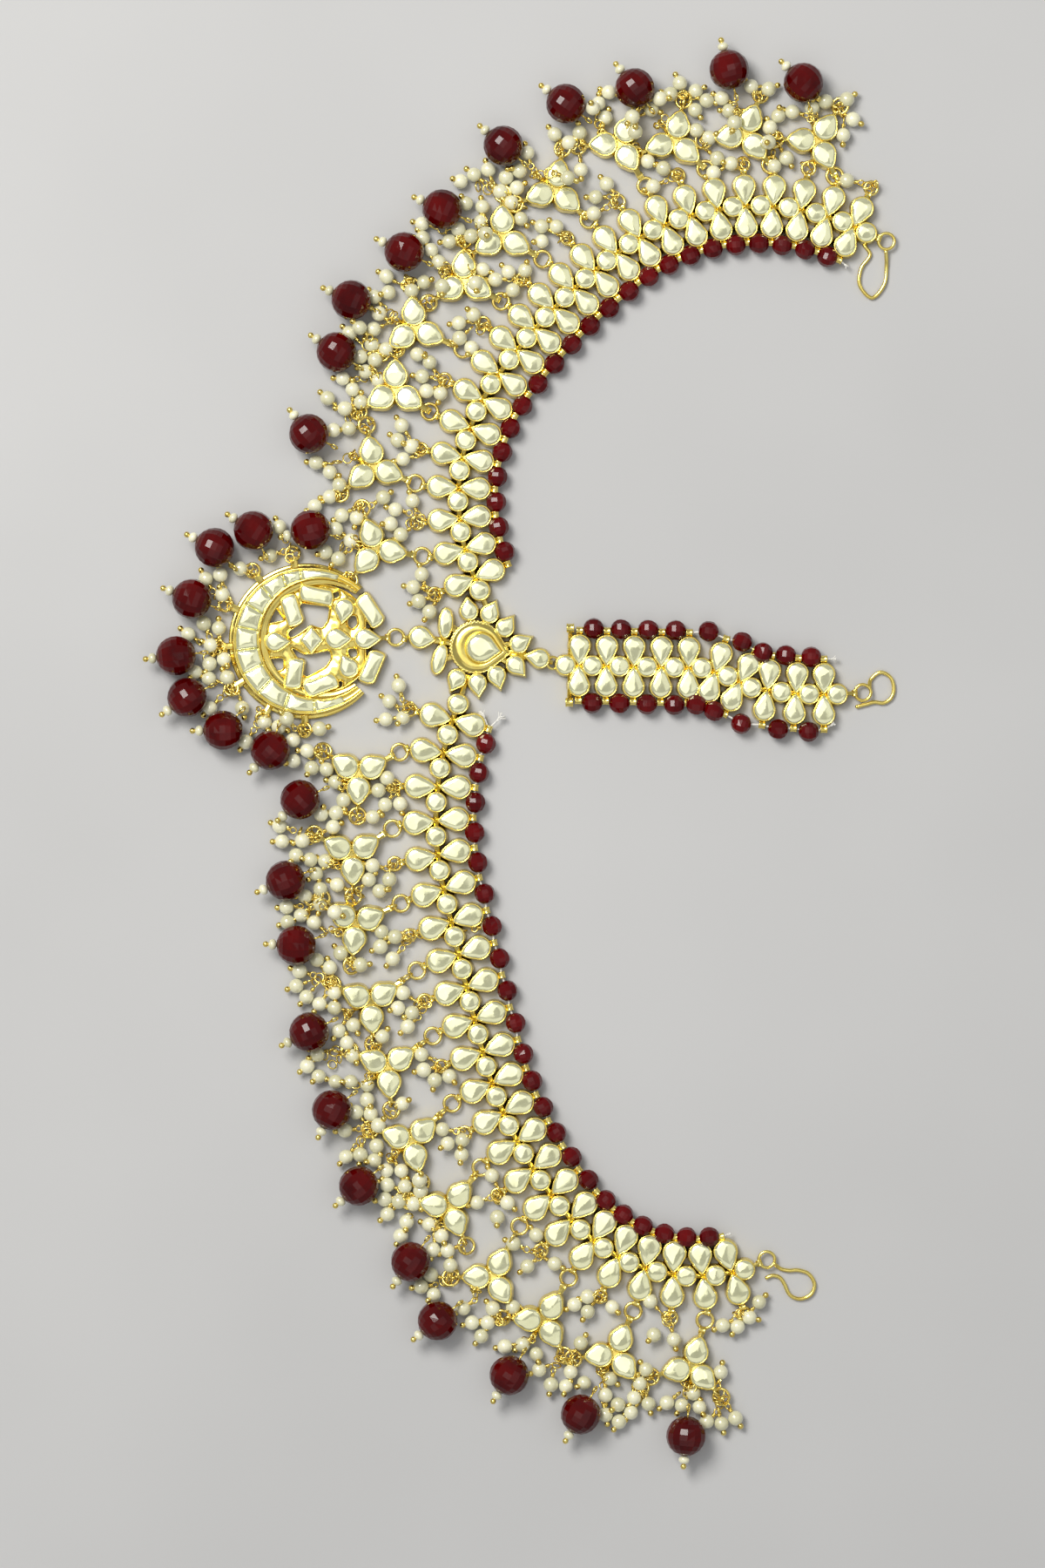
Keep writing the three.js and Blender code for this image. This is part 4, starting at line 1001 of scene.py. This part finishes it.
def openwork(gold, at):
    """The pierced plate that the crescent's inner stones stand on, with raised rims and uneven ribs."""
    rim = [np.array(HOLLOW[:2]) + PLATE_RADIUS * unit(a) for a in np.arange(0, 360, 6)]
    outlines = [np.array([(min(x, PLATE_CUT), y) for x, y in rim])]
    for hole in OPENWORK_HOLES:
        outline = rounded(hole, 0.8, 4)
        outlines.append(outline if signed_area(outline) < 0 else outline[::-1])
    for outline in outlines:
        loft(gold, [lifted(inset(outline, step) + at, z) for step, z in PLATE_EDGE], caps=False)
    for (step, z), is_top in ((PLATE_EDGE[0], False), (PLATE_EDGE[-1], True)):
        loops = [inset(outline, step) for outline in outlines]
        flat, edges = [], []
        for loop in loops:
            first, count = len(flat), len(loop)
            flat += [Vector(point) for point in loop]
            edges += [(first + k, first + (k + 1) % count) for k in range(count)]
        if is_top:
            grid = np.array([(x + 0.4 * (k % 2), y) for k, y in enumerate(np.arange(-14.0, 14.5, 0.7))
                             for x in np.arange(-12.0, 16.0, 0.8)])
            flat += [Vector(point) for point in grid[edge_distance(loops, grid) > 0.5]]
        spots, _, faces, *_ = delaunay_2d_cdt(flat, edges, [], 0, 1e-6)
        spots = np.array(spots)
        kept = np.array([face for face in faces
                         if sum(winding(loop, spots[face].mean(axis=0)) for loop in loops) > 0.5])
        surface = lifted(spots + at, z)
        if is_top:
            share = np.clip(edge_distance(loops, spots) / 1.5, 0, 1)
            x, y = spots.T
            surface[:, 2] += share * (0.35 + 0.2 * np.sin(1.9 * x + 1.1 * y) * np.cos(1.7 * y - 0.8 * x))
        gold.add(surface, kept if is_top else kept[:, ::-1], is_top)


def edge_distance(loops, points):
    """How far each point is from the nearest corner of any loop."""
    corners = np.concatenate(loops)
    return np.linalg.norm(points[:, None] - corners[None], axis=2).min(axis=1)


def winding(outline, point):
    """How often an outline goes round a point, counterclockwise."""
    x, y = (outline - point).T
    angle = np.arctan2(y, x)
    turn = np.diff(np.append(angle, angle[0]))
    return np.round(((turn + math.pi) % (2 * math.pi) - math.pi).sum() / (2 * math.pi))


def signed_area(outline):
    """The outline's area, positive if it runs counterclockwise."""
    x, y = np.asarray(outline).T
    return 0.5 * float(x @ np.roll(y, -1) - y @ np.roll(x, -1))


def crescent():
    """The channel-set crescent, its openwork and stones, and the loops round its rim."""
    gold, stones = Builder(), Builder()
    at = np.array(CRESCENT_AT)
    rings = []
    for angle in np.linspace(44, 318, 130):
        edge, squeeze = channel(angle)
        ring = []
        for step, is_inner, z in CRESCENT_PROFILE:
            radius = edge + step * squeeze if is_inner else CRESCENT_RADIUS - step * squeeze
            ring.append(np.append(at + unit(angle) * radius, z))
        rings.append(np.array(ring)[::-1])
    loft(gold, rings)
    for first, last in zip(CHANNEL_EDGES, CHANNEL_EDGES[1:]):
        spread = np.linspace(first + 0.12, last - 0.12, 5)
        outer = [unit(a) * (CRESCENT_RADIUS - CHANNEL_WALL * channel(a)[1]) for a in spread]
        inner = [crescent_arc(a) + unit(a) * 0.15 for a in spread[::-1]]
        stone(stones, rounded(outer + inner, 0.35, 3) + at, 3.0, 1.05)
    openwork(gold, at)
    for x, y, length, width, tip in CRESCENT_TEARDROPS:
        setting(gold, stones, teardrop(length, width, bulge=0.01), at + (x, y), tip)
    for x, y, length, width, axis in CRESCENT_BAGUETTES:
        setting(gold, stones, baguette(length, width), at + (x, y), axis, rise=0.6)
    x, y, length, width = CRESCENT_KITE
    setting(gold, stones, kite(length, width), at + (x, y), rise=0.7)
    for angle in CRESCENT_LOOPS:
        bar(gold, ahead(at, angle, 19.4), ahead(at, angle, 22.2), 1.9, 0.5, 1.9)
    lug = ahead(TIKKA_RING, 180, RING_MID)
    lug_bar(gold, at + (18.6, 0.7), lug, 90)
    for angle in np.arange(90, 280, 12):
        keep_off(ahead(at, angle, 18.2), 2.4, 3.9)
    return dict(gold=gold, stones=stones)


def fringe():
    """The large beads and the pearls' rings round the crescent."""
    pins, pearls, beads = Builder(), Builder(), Builder()
    at = np.array(CRESCENT_AT)
    for (angle, reach), loop in zip(FRINGE_BEADS, CRESCENT_LOOPS):
        large_bead(beads, pearls, pins, ahead(at, angle, reach), angle)
        anchor = ahead(at, loop, 23.2)
        hanging_ring(pins, anchor, loop, radius=1.8)
        anchor_rows.append(("crescent", np.append(anchor, 1.6)))
    return dict(pins=pins, pearls=pearls, beads=beads)


# ---------------- the strap
def strap():
    """The parting strap, with a bead string along each edge and the plate that it starts from."""
    made = {kind: Builder() for kind in ("gold", "stones", "small", "thread")}
    gold, stones, small, thread = made.values()
    band_settings(gold, stones, STRAP)
    for way, turn in ((1, 12), (-1, 20)):
        bead_string(small, gold, thread, STRAP, way, ([], [(turn, 3.2)]))
    bar(gold, *STRAP_PLATE, 1.3, 0.0, 3.4)
    for end in STRAP_PLATE:
        barrel(gold, end, 0, 2.0, 1.25, 2.6)
    return made


# ---------------- hooks
def smooth_path(points, steps=6):
    """A Catmull-Rom curve through the points."""
    points = np.asarray(points, float)
    padded = np.vstack([2 * points[0] - points[1], points, 2 * points[-1] - points[-2]])
    made = []
    for i in range(1, len(padded) - 2):
        a, b, c, d = padded[i - 1:i + 3]
        for t in np.linspace(0, 1, steps, endpoint=False):
            made.append(0.5 * (2 * b + (c - a) * t + (2 * a - 5 * b + 4 * c - d) * t ** 2
                               + (3 * b - a - 3 * c + d) * t ** 3))
    made.append(points[-1])
    return np.array(made)


def hook(band, lug_reach, heading, wire):
    """A bent wire hook, and the lug and ring at the end of a band that hold it."""
    gold = Builder()
    end = links_of(band)[-1]["end"]
    lug = ahead(end, heading, lug_reach)
    lug_bar(gold, ahead(end, heading, 1.8), lug, heading + 90)
    add_ring(gold, (*ahead(end, heading, lug_reach + RING_MID), RING_HEIGHT))
    path = [(x, y, RING_HEIGHT if i == 0 else 0.55) for i, (x, y) in enumerate(wire)]
    add_tube(gold, smooth_path(path), 0.5, 10)
    add_shape(gold, HEAD_BALL, 0.52, np.eye(3), path[-1])
    return gold


# ---------------- assembly
# Each kind of builder: what its piece is called, its material and its slot in the record.
FINISHES = {
    "gold": ("settings", GOLD, "gold"), "stones": ("stones", STONE, "kundan_stone"),
    "pins": ("pins", WIRE, "gold"), "pearls": ("pearls", PEARL_SHELL, "pearl"),
    "beads": ("large_beads", RED_LARGE, "red_bead"), "small": ("small_beads", RED_SMALL, "red_bead"),
    "thread": ("thread", COTTON, "thread"), "wire": ("wire", GOLD, "gold"),
}


def finish(group, made, nodes):
    """Makes a group's pieces, each in the place of the CAD nodes given for its kind."""
    for kind, builder in made.items():
        name, mat, slot = FINISHES[kind]
        piece = builder.make(f"{group}_{name}", mat)
        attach(piece, "root")
        if kind in nodes:
            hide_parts(*nodes[kind])


groups = {"right": arm("right", RIGHT_ARM, RIGHT_TREFOILS, ([], [(-25, 3.0)])),
          "left": arm("left", LEFT_ARM, LEFT_TREFOILS, ([(32, 5.0), (-35, 5.2)], [(20, 2.6)])),
          "star": star(), "crescent": {**crescent(), **fringe()}, "strap": strap()}
make_pearls(groups)

stood_for = {"star": {"gold": ["star_brooch"]},
             "crescent": {"gold": ["crescent_pendant"], "pearls": ["crescent_fringe"]},
             "strap": {"gold": ["strap_band"], "small": ["strap_bead_string_1", "strap_bead_string_2"]}}
numbers = [f"{i:02d}" for i in range(1, 12)]
for side in ("right", "left"):
    stood_for[side] = {
        "gold": [f"{side}_band_1", f"{side}_band_2"] + [f"{side}_trefoil_{n}" for n in numbers],
        "beads": [f"{side}_bead_drop_{n}" for n in numbers], "small": [f"{side}_bead_string"]}
for group, made in groups.items():
    finish(group, made, stood_for[group])
for name, *shape in HOOKS:
    finish(name, {"wire": hook(*shape)}, {"wire": [name]})

# ---------------- stage, light, camera
FLOOR_Z = -0.0002
floor_mesh = bpy.data.meshes.new("floor")
floor_mesh.from_pydata([(x, y, FLOOR_Z) for x, y in ((-1.5, -1.5), (1.5, -1.5), (1.5, 1.5), (-1.5, 1.5))],
                       [], [(0, 1, 2, 3)])
floor_tone = ((6, 3.0), (0.3, (0.45, 0.45, 0.45)), (0.7, (0.49, 0.49, 0.49)))
floor_mesh.materials.append(material("pale_floor", floor_tone, Roughness=0.75))
floor = add_object("floor", floor_mesh)


def area_light(name, at, target, size, power, colour=(1, 1, 1)):
    """A rectangular softbox that faces a target."""
    light = bpy.data.lights.new(name, "AREA")
    light.shape = "RECTANGLE"
    light.size, light.size_y = size
    light.energy = power
    light.color = colour
    made = add_object(name, light)
    made.location = at
    made.rotation_euler = (Vector(target) - Vector(at)).to_track_quat("-Z", "Y").to_euler()


MIDDLE = (0.011, -0.0355, 0.003)
area_light("overhead", (-1.02, 0.8, 4.0), MIDDLE, (2.9, 3.3), 28.0, (1.0, 0.99, 0.96))
area_light("front", (0.4, -2.64, 4.0), MIDDLE, (6.4, 2.7), 23.0)
area_light("side", (2.7, 0.76, 4.0), MIDDLE, (2.6, 4.1), 14.0)
area_light("key", (-0.52, 0.56, 1.2), MIDDLE, (0.6, 0.6), 18.0, (1.0, 0.98, 0.94))

bpy.context.scene.view_settings.view_transform = "Standard"
world = bpy.data.worlds.new("studio")
world.use_nodes = True
world.node_tree.nodes["Background"].inputs["Color"].default_value = (0.98, 0.99, 1.0, 1)
world.node_tree.nodes["Background"].inputs["Strength"].default_value = 0.34
bpy.context.scene.world = world

CAMERA_HEIGHT = 1.6
VIEW_HEIGHT = 0.409  # what the frame's height covers at the object
camera_data = bpy.data.cameras.new("camera")
camera_data.sensor_fit = "VERTICAL"
camera_data.sensor_height = 36
camera_data.lens = 36 * CAMERA_HEIGHT / VIEW_HEIGHT
camera_data.clip_start = 0.01
camera = add_object("camera", camera_data)
camera.location = (MIDDLE[0], MIDDLE[1], CAMERA_HEIGHT + MIDDLE[2])
camera.rotation_euler = (0, 0, 0)
bpy.context.scene.camera = camera
